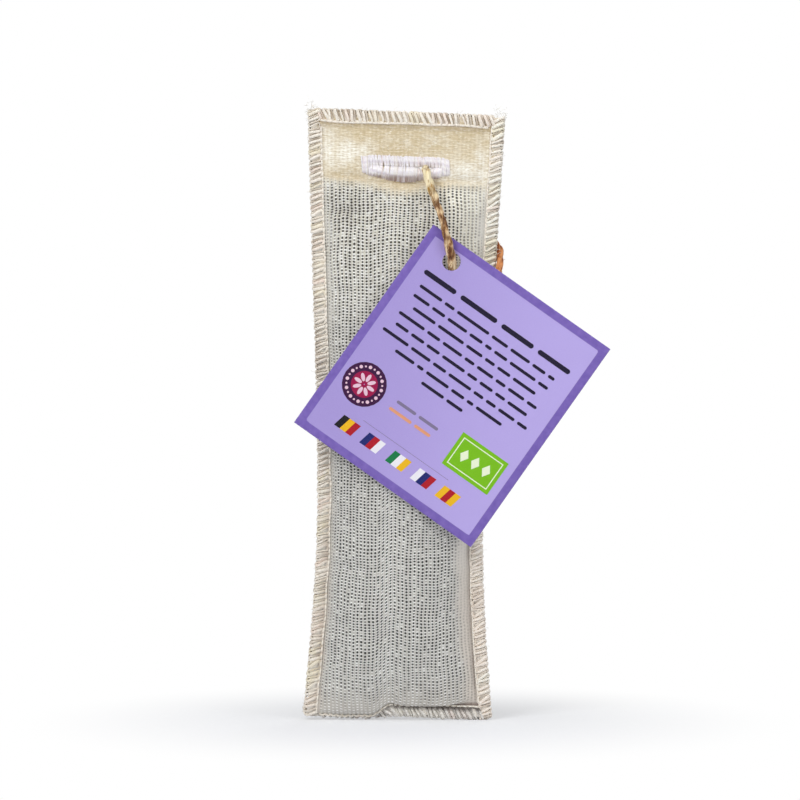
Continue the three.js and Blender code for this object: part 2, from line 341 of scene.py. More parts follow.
def turn_under(level, across, y):
    """Level and y of a place after the left half of the bottom edge is turned under."""
    share = smooth_step(-across, -TURNED_FROM, -TURNED_TO)
    above = level - outline_bottom
    level = level - HANG * share * smooth_step(HANG_FROM - above, 0, HANG_FROM - BEND_FROM)
    past = np.maximum(BEND_FROM - above, 0)
    turn = np.minimum(past / BEND_RADIUS, BEND_TURN) * share
    bent = np.minimum(past, BEND_RADIUS * BEND_TURN)
    radius = BEND_RADIUS / np.maximum(share, LEAST_TURNED)
    turned = share > LEAST_TURNED
    rest = past - bent
    down = np.where(turned, radius * np.sin(turn), bent) + rest * np.cos(turn)
    back = np.where(turned, radius * (1 - np.cos(turn)), 0) + rest * np.sin(turn)
    new_level = level + past - down + y * np.sin(turn)
    return np.where(past > 0, new_level, level), np.where(past > 0, back + y * np.cos(turn), y)


# Wander of the sewn edges: how far and in what waves, from what share of the half width and
# what distance above the bottom it grows, and the level and room of the twine that passes
WANDER = 0.6
WANDER_LENGTH = 27
WANDER_OUTSIDE = (0.5, 0.95)
WANDER_ABOVE = (8, 24)
TWINE_LEVEL = -25
TWINE_ROOM = 11


def edge_wander(level, across):
    """How far the sewn edges wander out of the plane, but for the place where the twine passes."""
    share = smooth_step(np.abs(across) / half_width(level), *WANDER_OUTSIDE)
    share = share * smooth_step(level - outline_bottom, *WANDER_ABOVE)
    share = share * (1 - bump_at(level, TWINE_LEVEL, TWINE_ROOM) * (across > 0))
    return WANDER * share * ripple(across * 0.2, level, WANDER_LENGTH, WANDER_SEED)


def in_plane(level, across, y):
    """A place in the sachet: across is measured from the middle line."""
    level, across, y = np.broadcast_arrays(np.asarray(level, float), across, y)
    middle = np.interp(-level, -levels, middles)
    turned, deep = turn_under(level, across, y + edge_wander(level, across))
    return np.stack([middle + across, deep, turned - slope * across], axis=-1)


# The slit: its reach across, how low and high its lips lie at the middle, how much further and
# over what width the twine presses them, and how far the back's lips are shifted up beside it
SLIT_REACH = 11
TACK_REACH = 13
LIP_LOW, LIP_HIGH = 0.3, 0.35
PRESSED_LOW, PRESSED_HIGH = 1.75, 0.5
PRESSED_WIDTH = 1.9
TWINE_ACROSS = 5.9
REAR_LIP_SHIFT = 0.75
REAR_PRESSED_WIDTH = 2.8


def slit_shape(across):
    return np.sqrt(np.clip(1 - (across / SLIT_REACH) ** 2, 0, 1))


def lips(across, side):
    """Levels of the slit's lower and upper lip on one side."""
    twine = bump_at(across, TWINE_ACROSS, PRESSED_WIDTH)
    beside = 1 - bump_at(across, TWINE_ACROSS, REAR_PRESSED_WIDTH)
    shift = 0.0 if side == FRONT else REAR_LIP_SHIFT * beside
    lower, upper = shift - LIP_LOW - PRESSED_LOW * twine, shift + LIP_HIGH + PRESSED_HIGH * twine
    return lower * slit_shape(across), upper * slit_shape(across)


# How much lower the crown starts under the slit, the middle and width of that dip, and the
# powers that round the crown off across and along
CROWN_DIP = 0.9
CROWN_DIP_AT = (-1, 9)
ACROSS_POWERS = (2.2, 0.6)
ALONG_POWERS = (4, 0.55)


def swell(across, level):
    """How full the body is, 0 at its edge to 1."""
    reach = half_width(level) - CROWN_INSET
    top = CROWN_TOP - CROWN_DIP * bump_at(across, *CROWN_DIP_AT)
    a = np.clip(np.abs(across) / reach, 0, 1)
    d = np.clip((top - level) / (top - CROWN_BOTTOM), 0, 1)
    width = (1 - a ** ACROSS_POWERS[0]) ** ACROSS_POWERS[1]
    height = (1 - np.abs(2 * d - 1) ** ALONG_POWERS[0]) ** ALONG_POWERS[1]
    return width * height * (1 - SLACK_SHARE * (1 - d))


# Unevenness of the cloth, each kind with its depth and wavelength: large and small lumps of
# the filling, puckers that start at the seams and fade inwards, and the flat cloth, where the
# swell stays below a share
LUMP_DEPTH, LUMP_LENGTH = 0.3, 17
SMALL_LUMP_DEPTH, SMALL_LUMP_LENGTH = 0.12, 6
PUCKER_DEPTH, PUCKER_LENGTH = 0.55, 6.5
PUCKER_START = (-0.5, 1.5)
PUCKER_REACH = 4
PUCKER_LEAN = 0.15
FLAT_DEPTH, FLAT_LENGTH = 0.1, 12
FLAT_BELOW = 0.15

# How far the filled cloth sinks back as a whole
SUNK = 0.25

# How far the header bows forward above the body, how deep the tuck between them is, and how
# far the slit's lower lip stands out, each with its place
HEADER_BOW = 1.3
BOW_TOP, BOW_TOP_FADE = 9, 10
BOW_LOW = (-7, -4)
TUCK = 0.6
TUCK_AT = (-3.6, 1.1)
LIP_RISE = 1.25
LIP_RISE_AT = (-1.75, 1.25)
BESIDE_SLIT = (9, 15)
INSIDE_SEAM = (0.3, 4)

# Dents in the front: across, level, depth, and size across and up
DENTS = [(-17.5, -14.5, 3.0, 4.8, 3.8), (20.5, -18.0, 1.8, 4.0, 6.5), (-21, -70, 0.7, 3, 9),
         (19, -135, 0.7, 4, 9), (4, -152, 0.9, 14, 5)]
DEEP_DENTS = [dent for dent in DENTS if dent[2] > 1]


def outer_depth(side, across, level):
    """Distance of the cloth's outer face from the middle plane."""
    full = swell(across, level)
    seed = LUMP_SEEDS[side]
    lumps = (LUMP_DEPTH * ripple(across, level, LUMP_LENGTH, seed)
             + SMALL_LUMP_DEPTH * ripple(across, level, SMALL_LUMP_LENGTH, seed + 1))
    inwards = half_width(level) - CROWN_INSET - np.abs(across)
    pull = np.exp(-np.clip(inwards, 0, None) / PUCKER_REACH) * smooth_step(inwards, *PUCKER_START)
    puckers = pull * (PUCKER_DEPTH * ripple(across * PUCKER_LEAN, level, PUCKER_LENGTH, seed + 2))
    depth = SEAM_HALF + CROWN_DEPTHS[side] * full + full ** 0.5 * lumps + full ** 0.3 * puckers
    depth = depth - SUNK * full ** 0.5
    flat = 1 - smooth_step(full, 0, FLAT_BELOW)
    depth = depth + flat * FLAT_DEPTH * ripple(across, level, FLAT_LENGTH, seed + 3)
    if side == FRONT:
        for x, z, deep, wide, tall in DENTS:
            depth = depth - deep * full ** 0.5 * bump_at(across, x, wide) * bump_at(level, z, tall)
        lip = slit_shape(np.clip(across, -SLIT_REACH, SLIT_REACH)) ** 0.5
        depth = depth + LIP_RISE * lip * bump_at(level, *LIP_RISE_AT)
        aside = smooth_step(np.abs(across), *BESIDE_SLIT) * smooth_step(inwards, *INSIDE_SEAM)
        bowed = HEADER_BOW * smooth_step(BOW_TOP - level, 0, BOW_TOP_FADE)
        bowed = bowed * smooth_step(level, *BOW_LOW)
        depth = depth + aside * (bowed - TUCK * bump_at(level, *TUCK_AT))
    return np.maximum(depth, SEAM_HALF - 0.1)


# The filled body is blown up as cloth: both panels start almost full and are sewn down all
# round, and the flat cloth they were cut from is longer than the seams, so it puckers there.
BLOWN_ROWS = 112
BLOWN_COLUMNS = 38
BLOWN_TOP = -5.4
BLOWN_BOTTOM = CROWN_BOTTOM - 0.3
BLOWN_SCALE = 10
BLOWN_FRAMES = 36
START_SHARE = 0.9
RIM_POWER = 12
SPARE_ACROSS_SHARE = 0.03
SPARE_ALONG_SHARE = 0.06
MOST_SHIFT = 1.8
CLOTH_SETTINGS = {
    "quality": 6, "mass": 0.3, "tension_stiffness": 30, "compression_stiffness": 30,
    "shear_stiffness": 6, "bending_stiffness": 0.08, "air_damping": 4, "use_pressure": True,
    "uniform_pressure_force": 5.0, "vertex_group_mass": "sewn",
}


def blown_reach(level):
    return half_width(level) - CROWN_INSET + 0.3


def lengths_along(grids, axis):
    """The length of each line of grids along an axis."""
    return np.linalg.norm(np.diff(grids, axis=axis), axis=-1).sum(axis=axis)


def blow_up():
    """How far each point of both panels moves under pressure: across, up and outwards."""
    level = np.linspace(BLOWN_TOP, BLOWN_BOTTOM, BLOWN_ROWS)[:, None]
    shares = np.linspace(-1, 1, BLOWN_COLUMNS)
    across = shares * blown_reach(level)
    level = np.broadcast_to(level, across.shape)
    sides = np.array([FRONT, BACK])[:, None, None]
    rises = np.stack([outer_depth(side, across, level) - SEAM_HALF for side in (FRONT, BACK)])
    share = START_SHARE + (1 - START_SHARE) * np.abs(shares) ** RIM_POWER
    start, full = [np.stack(np.broadcast_arrays(across, sides * (SEAM_HALF + rise), level), axis=-1)
                   for rise in (rises * share, rises)]
    widths = lengths_along(full, 2)[..., None] * (1 + SPARE_ACROSS_SHARE)
    length = lengths_along(full, 1)[:, BLOWN_COLUMNS // 2] * (1 + SPARE_ALONG_SHARE)
    down = np.linspace(0, length, BLOWN_ROWS, axis=-1)[..., None]
    flat = np.stack(np.broadcast_arrays(shares / 2 * widths, 0, -down), axis=-1)
    faces, rim = closed_faces(BLOWN_ROWS, BLOWN_COLUMNS)
    made = make_piece("blown_cloth", start.reshape(-1, 3) * BLOWN_SCALE, faces)
    made.shape_key_add(name="Basis")
    flat_key = made.shape_key_add(name="flat")
    flat_key.data.foreach_set("co", (flat * BLOWN_SCALE * MM).ravel())
    flat_key.value = 0
    made.vertex_groups.new(name="sewn").add(sorted(rim), 1.0, "REPLACE")
    run_cloth(made, flat_key)
    ended = made.evaluated_get(bpy.context.evaluated_depsgraph_get()).to_mesh()
    points = np.empty(start.size)
    ended.vertices.foreach_get("co", points)
    bpy.data.objects.remove(made)
    bpy.context.scene.frame_set(1)
    points = points.reshape(start.shape) / MM / BLOWN_SCALE
    shift = points - start
    outwards = sides * points[..., 1] - (SEAM_HALF + rises)
    return np.clip(np.stack([shift[..., 0], shift[..., 2], outwards], axis=-1), -MOST_SHIFT, MOST_SHIFT)


def run_cloth(piece, flat_key):
    """Blender's cloth on a piece, for the frames of the simulation."""
    cloth = piece.modifiers.new("cloth", "CLOTH")
    for name, value in CLOTH_SETTINGS.items():
        setattr(cloth.settings, name, value)
    cloth.settings.effector_weights.gravity = 0
    cloth.settings.rest_shape_key = flat_key
    cloth.collision_settings.use_collision = False
    cloth.collision_settings.use_self_collision = False
    cloth.point_cache.frame_start = 1
    cloth.point_cache.frame_end = BLOWN_FRAMES
    for step in range(1, BLOWN_FRAMES + 1):
        bpy.context.scene.frame_set(step)


blown = np.zeros((2, BLOWN_ROWS, BLOWN_COLUMNS, 3))


def pushed(side, across, level):
    """Shift of places of the cloth, from the simulation: across, up and outwards."""
    across, level = np.broadcast_arrays(np.asarray(across, float), level)
    field = blown[0 if side == FRONT else 1]
    down = (BLOWN_TOP - level) / (BLOWN_TOP - BLOWN_BOTTOM)
    along = (across / blown_reach(level) + 1) / 2
    outside = (down <= 0) | (down >= 1) | (along <= 0) | (along >= 1)
    r = np.clip(down, 0, 1) * (BLOWN_ROWS - 1)
    c = np.clip(along, 0, 1) * (BLOWN_COLUMNS - 1)
    r0 = np.clip(r.astype(int), 0, BLOWN_ROWS - 2)
    c0 = np.clip(c.astype(int), 0, BLOWN_COLUMNS - 2)
    fr, fc = (r - r0)[..., None], (c - c0)[..., None]
    found = ((1 - fr) * (1 - fc) * field[r0, c0] + (1 - fr) * fc * field[r0, c0 + 1]
             + fr * (1 - fc) * field[r0 + 1, c0] + fr * fc * field[r0 + 1, c0 + 1])
    return np.where(outside[..., None], 0, found)


# Materials. A colour is a tuple of red, green and blue as they look, from 0 to 255.

def sign(operation):
    """The method of a sign between two values, which adds the node that works it out."""
    return lambda self, other: self.nodes.math(operation, self, other)


class Value:
    """A number, vector or colour that nodes work out."""

    def __init__(self, nodes, socket):
        self.nodes = nodes
        self.socket = socket

    __add__ = sign("ADD")
    __sub__ = sign("SUBTRACT")
    __mul__ = sign("MULTIPLY")
    __truediv__ = sign("DIVIDE")
    __pow__ = sign("POWER")

    def __rsub__(self, other):
        return self.nodes.math("SUBTRACT", other, self)


def linear(colour):
    """A colour as the linear one that nodes take."""
    parts = [c / 255 for c in colour]
    return [p / 12.92 if p <= 0.04045 else ((p + 0.055) / 1.055) ** 2.4 for p in parts] + [1.0]


class Nodes:
    """A node tree, with short ways to add nodes."""

    def __init__(self, tree):
        self.tree = tree

    def feed(self, socket, value):
        """Link a value to a socket, or set it there; a tuple is a colour as it looks."""
        value = getattr(value, "socket", value)
        if isinstance(value, bpy.types.NodeSocket):
            self.tree.links.new(value, socket)
        else:
            socket.default_value = linear(value) if isinstance(value, tuple) else value

    def node(self, kind, inputs=(), **settings):
        made = self.tree.nodes.new(f"ShaderNode{kind}")
        for name, value in settings.items():
            setattr(made, name, value)
        for name, value in dict(inputs).items():
            self.feed(made.inputs[name], value)
        return made

    def value(self, kind, inputs=(), output=0, **settings):
        return Value(self, self.node(kind, inputs, **settings).outputs[output])

    def number(self, name):
        return self.value("Attribute", output="Fac", attribute_name=name)

    def vector(self, name):
        return self.value("Attribute", output="Vector", attribute_name=name)

    def math(self, operation, *values, clamp=False):
        return self.value("Math", enumerate(values), operation=operation, use_clamp=clamp)

    def noise(self, where, scale, detail=2.0, roughness=0.5):
        return self.value("TexNoise", {"Vector": where, "Scale": scale, "Detail": detail,
                                       "Roughness": roughness})

    def chance(self, number):
        return self.value("TexWhiteNoise", {"W": number}, noise_dimensions="1D")

    def range(self, value, low, high, to_low=0.0, to_high=1.0):
        inputs = {"Value": value, "From Min": low, "From Max": high,
                  "To Min": to_low, "To Max": to_high}
        return self.value("MapRange", inputs, interpolation_type="SMOOTHSTEP")

    def mix(self, share, first, second):
        return self.value("Mix", {0: share, 6: first, 7: second}, output=2, data_type="RGBA")

    def coats(self, colour, *coats):
        """A colour with others laid over it in turn, each given by its share and itself."""
        for share, coat in coats:
            colour = self.mix(share, colour, coat)
        return colour

    def join(self, x, y, z=0.0):
        return self.value("CombineXYZ", enumerate((x, y, z)))

    def split(self, vector):
        made = self.node("SeparateXYZ", {"Vector": vector})
        return [Value(self, socket) for socket in made.outputs]

    def place(self):
        """The object's own coordinates, in millimetres."""
        where = self.value("TexCoord", output="Object")
        return self.value("VectorMath", {0: where, "Scale": 1 / MM}, operation="SCALE")


class Material(Nodes):
    """A material whose shader is fed by nodes."""

    def __init__(self, name, roughness, specular, sheen=0.0):
        self.data = bpy.data.materials.new(name)
        self.data.use_nodes = True
        super().__init__(self.data.node_tree)
        self.shader = self.tree.nodes["Principled BSDF"]
        for key, value in (("Roughness", roughness), ("Specular IOR Level", specular),
                           ("Sheen Weight", sheen)):
            self.shader.inputs[key].default_value = value

    def colour(self, value):
        self.feed(self.shader.inputs["Base Color"], value)

    def bump(self, height, distance, strength):
        made = self.value("Bump", {"Height": height, "Distance": distance, "Strength": strength})
        self.feed(self.shader.inputs["Normal"], made)


# Colours of the cloth: the open weave of the body with its painted shade and painted highlights,
# its pinholes, the header, the strips beside the seams, the raw edges and the painted shade in the
# creases
BODY_SHADE = (160, 156, 145)
BODY_HIGH = (255, 254, 248)
UPPER_HIGHLIGHT = (255, 250, 232)
BODY_GREY = (196, 193, 184)
BODY_WHITE = (255, 255, 252)
LOWER_SHADE = (206, 204, 198)
HOLE_DARK = (4, 4, 3)
HOLE_BROWN = (34, 22, 6)
HEADER_YELLOW = (221, 204, 169)
HEADER_PALE_AND_LIT = (255, 252, 240)
HEADER_DEEP = (190, 171, 135)
STRIP_SHADE = (190, 182, 172)
STRIP_HIGH = (222, 214, 204)
STRIP_GREY = (222, 221, 215)
EDGE_CLOTH = (255, 250, 240)
CREASE_SHADE = (112, 92, 84)

# The weave: its pitch across and up, and the half-axes of a pinhole as shares of its cell
WARP_PITCH = 1.25
WEFT_PITCH = 0.9
HOLE_ACROSS = 0.194
HOLE_UP = 0.262


def cloth_material():
    """Open plain weave: dark pinholes between the threads, closed where the cloth is doubled."""
    m = Material("cotton_cloth", roughness=0.95, specular=0.15, sheen=0.3)
    flat = m.vector("flat")
    filled = m.number("filled")
    dent_shade = m.number("dent_shade")
    x, y, _ = m.split(flat)
    upper = m.range(y, -90.0, -30.0)

    # Columns and rows of cells that drift, and seeded chances for each of them
    column = (x + m.noise(flat, 0.05) * 1.8) / WARP_PITCH
    own = m.chance(m.math("FLOOR", column))
    row = (y + (m.noise(m.join(y, x, 7.3), 0.09, 3.0) * 2.6 + own * 0.3)) / WEFT_PITCH
    own_row = m.chance(m.math("FLOOR", row))
    cell = m.join(m.math("FLOOR", column), m.math("FLOOR", row))
    chance = m.value("TexWhiteNoise", {"Vector": cell})

    # Pinholes
    off_x = m.math("FRACT", column) - 0.5
    off_y = m.math("FRACT", row) - 0.5
    patch = m.noise(flat, 0.16, 3.0, 0.6)
    size = chance * 0.22 + m.range(patch, 0.3, 0.7, 0.92, 1.04) + (own + own_row) * 0.11
    # Larger pinholes in the deep dents, part of their painted shade
    size = size * m.range(y, -25.0, -110.0, 1.2, 1.16) + dent_shade * 0.22
    away = m.math("SQRT", (off_x / HOLE_ACROSS) ** 2.0 + (off_y / HOLE_UP) ** 2.0) / size
    open_share = (1.0 - filled) * m.range(chance, 0.02, 0.14, 0.2)
    hole = m.range(away, 1.08, 0.85) * open_share

    # Threads that go over and under each other, with a painted highlight where they cross and painted
    # shade in the gaps between neighbouring columns
    beside = m.math("ABSOLUTE", off_x)
    above = m.math("ABSOLUTE", off_y)
    crossing_highlight = m.range(beside, 0.36, 0.12) * m.range(above, 0.26, 0.46)
    parting_shade = m.range(beside, 0.4, 0.49) * m.range(chance, 0.2, 0.8, 0.2, 0.75)
    warp = m.math("COSINE", column * math.pi)
    weft = m.math("COSINE", row * math.pi)
    over = warp * weft * 0.2
    relief = m.math("MAXIMUM", m.math("ABSOLUTE", warp) * (over + 0.8),
                    m.math("ABSOLUTE", weft) * (0.65 - over))

    slub = m.noise(m.join(x * 0.9, y * 0.45), 1.0, 3.0)
    lint = m.noise(flat, 3.0, 4.0, 0.7)
    # Painted shade where the weave lies low, and painted light that makes the upper body lighter and
    # creamier
    body = m.coats(
        m.mix(relief, BODY_SHADE, m.mix(upper, BODY_HIGH, UPPER_HIGHLIGHT)),
        (own * 0.5, BODY_GREY),
        (own_row * 0.35, BODY_GREY),
        (m.range(slub, 0.4, 0.7) * 0.6, BODY_WHITE),
        # Painted shade beside the warp threads, stronger low down
        (m.range(beside, 0.2, 0.36) * m.range(y, -110.0, -40.0, 0.42, 0.2), BODY_SHADE),
        (parting_shade, BODY_SHADE),
        # Painted shade, darker towards the bottom of the body
        (m.range(y, -40.0, -130.0, 0.0, 0.36), LOWER_SHADE),
        # Painted shade along the turned-under fold at the bottom
        (m.range(y, -164.0, -173.0, 0.0, 0.45), STRIP_SHADE),
        # A painted highlight on the upper right of the body
        (m.range(x, 2.0, 16.0) * m.range(y, -75.0, -45.0) * 0.55, UPPER_HIGHLIGHT),
        # Painted highlights where the threads cross
        (crossing_highlight * m.range(own, 0.0, 1.0, 1.0, 0.6), BODY_WHITE),
        # Painted shade in the deep dents
        (dent_shade * 0.3, BODY_SHADE))
    cloud = m.range(m.noise(flat, 0.22, 3.0, 0.6), 0.3, 0.7, -0.22, 0.26)
    streaks = m.noise(m.join(x * 0.5, y * 2.6), 1.0, 4.0, 0.65)
    fine = relief * 0.16 + streaks * 1.1
    curl = m.noise(m.join(x * 0.22, y * 0.5), 1.0, 3.0, 0.6)
    cream = m.coats(
        HEADER_YELLOW,
        # Painted light and shade from the header's patches, with a random cloud of tone
        (m.math("ADD", m.number("pale"), cloud, clamp=True), HEADER_PALE_AND_LIT),
        (m.range(fine, 0.38, 0.82, 0.85, 0.0), HEADER_DEEP),
        (m.range(fine, 0.68, 0.95, 0.0, 0.6), BODY_WHITE),
        (m.range(m.math("ABSOLUTE", curl - 0.5), 0.016, 0.0, 0.0, 0.4), BODY_WHITE))
    # The strips beside the seams, with painted shade where the weave lies low
    beside_seams = m.coats(STRIP_SHADE, (relief, STRIP_HIGH),
                           (m.range(y, -150.0, -110.0, 0.0, 0.75), STRIP_GREY))
    m.colour(m.coats(
        body,
        (m.number("cream"), cream),
        (m.number("strip"), beside_seams),
        (m.number("edge"), EDGE_CLOTH),
        # Painted shade in the creases along the needle threads and under the bottom overhang
        (m.number("crease_shade") * m.range(lint, 0.3, 0.7, 0.6, 1.2), CREASE_SHADE),
        (hole, m.mix(upper, HOLE_DARK, HOLE_BROWN))))
    rise = relief * (1.0 - filled * 0.85) + (lint + streaks) * 0.4
    m.bump(rise - hole, 0.00013, 0.8)
    return m.data


def thread_material(name, light, dark, shaded=(176, 140, 104), straw=0.4):
    """Spun thread: fine fibres twisted round its length, a tint that each stitch has, and painted shade
    where the shade number is set.
    """
    m = Material(name, roughness=0.75, specular=0.25, sheen=0.3)
    along = m.number("along")
    tint = m.number("tint")
    twist = m.join(along * 1.3, m.number("around") * 3.0 + along)
    fibres = (m.noise(twist, 1.0, 3.0, 0.6) + m.noise(m.place(), 9.0, 3.0, 0.7)) * 0.5
    m.colour(m.coats(
        dark,
        (m.range(fibres, 0.35, 0.6), light),
        (m.range(tint, 0.5, 1.0) * 0.3, (238, 206, 190)),
        (m.range(tint, 0.45, 0.0) * straw, (238, 226, 184)),
        (m.number("shade"), shaded)))
    m.bump(fibres, 0.00006, 0.6)
    return m.data


def jute_material():
    """Hairy jute: long fibres that follow each strand, from straw to brown."""
    m = Material("jute_twine", roughness=0.85, specular=0.2, sheen=0.2)
    where = m.join(m.number("along") * 0.3, m.number("around") * 9.0, m.number("tint") * 31.0)
    fibre = m.noise(where, 1.0, 4.0, 0.7)
    tone = (m.range(fibre, 0.3, 0.7) * 0.6
            + m.range(m.noise(m.place(), 0.3), 0.35, 0.65) * 0.4)
    straw = m.mix(m.range(tone, 0.46, 0.78), (184, 136, 86), (255, 232, 190))
    brown = m.mix(m.range(tone, 0.26, 0.5), (90, 48, 22), straw)
    light = m.mix(m.range(tone, 0.2, 0.5), (188, 146, 72), (255, 244, 206))
    rusty = m.mix(m.range(tone, 0.25, 0.6), (138, 60, 20), (224, 150, 92))
    m.colour(m.coats(brown, (m.number("pale") * 0.8, light), (m.number("rust") * 0.95, rusty)))
    m.bump(fibre, 0.00025, 0.9)
    return m.data


def seed_material():
    """Dried buds and seeds: grains of two browns and a dusty violet."""
    m = Material("lavender_seed_mix", roughness=0.8, specular=0.2)
    grain = m.node("TexVoronoi", {"Vector": m.place(), "Scale": 0.55})
    hue = m.split(grain.outputs["Color"])[0]
    brown = m.mix(hue, (92, 70, 52), (140, 112, 82))
    m.colour(m.mix(m.range(hue, 0.6, 0.8), brown, (96, 84, 118)))
    m.bump(grain.outputs["Distance"], 0.0006, 1.0)
    return m.data


def card_material(name, low, high, border=None):
    """Printed card: fine paper grain under a satin coat, with a border where one is given."""
    m = Material(name, roughness=0.5, specular=0.35)
    spot = m.vector("spot")
    grain = m.noise(spot, 2.2, 4.0, 0.7)
    tone = m.coats(low, (m.number("tone"), high), (grain * 0.12, (255, 255, 255)))
    if border:
        edge = m.number("edge")
        ink = m.mix(m.noise(spot, 0.5, 3.0), border, (136, 113, 192))
        wear = m.range(edge, 0.35, 0.0) * m.range(m.noise(spot, 1.4, 4.0, 0.7), 0.5, 0.75)
        tone = m.coats(
            tone,
            (m.range(edge, BORDER_WIDTH - 0.12, BORDER_WIDTH + 0.12, 1.0, 0.0), ink),
            (wear * 0.7, (225, 216, 238)))
    m.colour(tone)
    m.bump(grain, 0.00002, 0.6)
    return m.data


def ink_material(name, colour):
    """Printed ink, a little uneven over the paper's grain."""
    m = Material(name, roughness=0.55, specular=0.15)
    grain = m.noise(m.place(), 4.0, 3.0, 0.7)
    paler = [c + (1 - c) * 0.025 for c in linear(colour)]
    m.colour(m.mix(m.range(grain, 0.4, 0.8), colour, paler))
    return m.data


# The filled weave sags a little, but for its left side and its lower end: how far, over what
# depth and width that grows, and how far above the bottom edge it ends
SAG = 2.5
SAG_DEPTH = 2.0
SAG_ACROSS = (-12, 6)
SAG_END, SAG_END_FADE = 18, 12

# Cloth panels: the deepest a panel may reach, the sheet's own thickness, how far inside the
# slit a face has to lie to be left out, and the depth of a dent that is shaded in full
MOST_DEPTH = 10.35
SHEET_THICKNESS = 0.45
SLIT_ROOM = 0.04
FULL_DENT = 3

# A panel's rows by stretches, each with its lower end and number of steps, and its columns,
# which lie closer to each other towards the seams
PANEL_STRETCHES = ((4, 14), (-7, 33), (CROWN_BOTTOM + 8, 169), (outline_bottom + CLOTH_INSET, 25))
PANEL_COLUMNS = 79

# Patches of painted light and shade on the header: across, level, how much, size across and
# up; and the depth and wavelength of its unevenness
HEADER_LIGHT_PATCHES = [(-18.5, 3.0, 0.95, 9.5, 4.4), (-25, 8.5, 0.6, 4, 6), (20, -1.0, 0.9, 8.5, 5),
                (24, 7, 0.3, 4, 4), (4, 8.4, 0.22, 9, 3), (-3.5, 4.8, -0.35, 3, 1.8),
                (0, 13, -0.5, 34, 2.2), (-8, -2.6, 0.3, 5, 2), (12, -2.2, 0.45, 5, 2)]
PALE_UNEVEN, PALE_LENGTH = 0.12, 7


def flat_places(grid):
    """Where each point of a grid lay in the flat cloth, before it was sewn and filled."""
    across, down = [np.insert(np.cumsum(np.linalg.norm(np.diff(grid, axis=axis), axis=-1), axis=axis),
                              0, 0, axis=axis) for axis in (1, 0)]
    across = across / across[:, -1:] - 0.5
    down = down / down[-1:]
    return np.stack([across * FLAT_SIZE[0], -down * FLAT_SIZE[1], 0 * down], axis=-1)


# Shares of the panels. The edges between them wander in waves of one length. Pairs of widths
# and of inner fades are for the left and the right. What ends in DOWN is measured down from the
# slit, and heights are measured up from the bottom edge.
SHARE_WAVES = 9

# The smooth strips beside the long seams: the right one widens on its way down
STRIP_WIDTHS = (1.2, 1.9)
STRIP_GAIN = 1.9
STRIP_GAIN_DOWN = (20, 110)
STRIP_DOWN = (3, 12)
STRIP_WANDER = 0.6
STRIP_OUTER_FADE = 1.2
STRIP_INNER_FADES = (1.2, 2.4)

# The header's lower edge, which dips under the slit, and the fold at the bottom
HEADER_START = -4.4
HEADER_DIP = 2.6
HEADER_DIP_AT = (-1, 11)
HEADER_WANDER = 0.5
HEADER_FADE = (-3.2, 0.9)
FOLD_SHARE = 0.9
FOLD_WANDER = 1.2
FOLD_HEIGHTS = (4.5, 12)

# Hazes where the weave is half closed: at the right shoulder, in from the strips and low down,
# and the right strip's loss low down
SHOULDER_HAZE = 0.5
SHOULDER_ACROSS = (13, 21)
SHOULDER_LEVELS = (-50, -30)
SEAM_HAZE = 0.6
SEAM_HAZE_WIDTHS = (4.2, 5.6)
SEAM_HAZE_GAIN = 1.5
SEAM_HAZE_DOWN = (60, 140)
SEAM_HAZE_FADE = 3.4
LOW_HAZE = 0.26
LOW_HAZE_DOWN = (138, 156)
STRIP_LOSS = 0.2
STRIP_LOSS_DOWN = (125, 150)

# The header's creamy colour
CREAM_START = -4.2
CREAM_FADE = (-3.5, 1.6)

# The painted shade in the creases along the needle threads and under the overhang of the
# bottom: how deep and how uneven it is, and its distance from the edge with its width
CREASE_WAVES = 11
SIDE_CREASE = 0.4
SIDE_CREASE_UNEVEN = 0.25
SIDE_CREASE_AT = (NEEDLE_INSET + 0.6, 0.45)
SIDE_CREASE_DOWN = (45, 100)
LEFT_CREASE = 0.1
TOP_CREASE = 0.35
TOP_CREASE_UNEVEN = 0.15
TOP_CREASE_AT = (NEEDLE_INSET + 0.7, 0.5)
FOLD_CREASE = 0.9
FOLD_CREASE_AT = (NEEDLE_INSET + 0.7, 0.6)
FOLD_CREASE_ACROSS = (-2, 2)

# The raw edge under the overlock stitches shows less at the top and on the left
EDGE_FADE = (-1.2, -0.3)
TOP_EDGE_SHARE = 0.35
LEFT_EDGE_SHARE = 0.75


def beside_share(across, level):
    """1 in the smooth strips beside the two long seams, where the cloth is drawn tight."""
    wander = ripple(across, level, SHARE_WAVES, STRIP_SEED)
    inwards = half_width(level) - OVERLOCK_WIDTH - np.abs(across)
    lower = smooth_step(-level, *STRIP_GAIN_DOWN)
    left, right = STRIP_WIDTHS
    strip = np.where(across < 0, left, right + STRIP_GAIN * lower) + STRIP_WANDER * wander
    soft = np.where(across < 0, *STRIP_INNER_FADES)
    return 1 - smooth_step(inwards, strip - STRIP_OUTER_FADE, strip + soft)


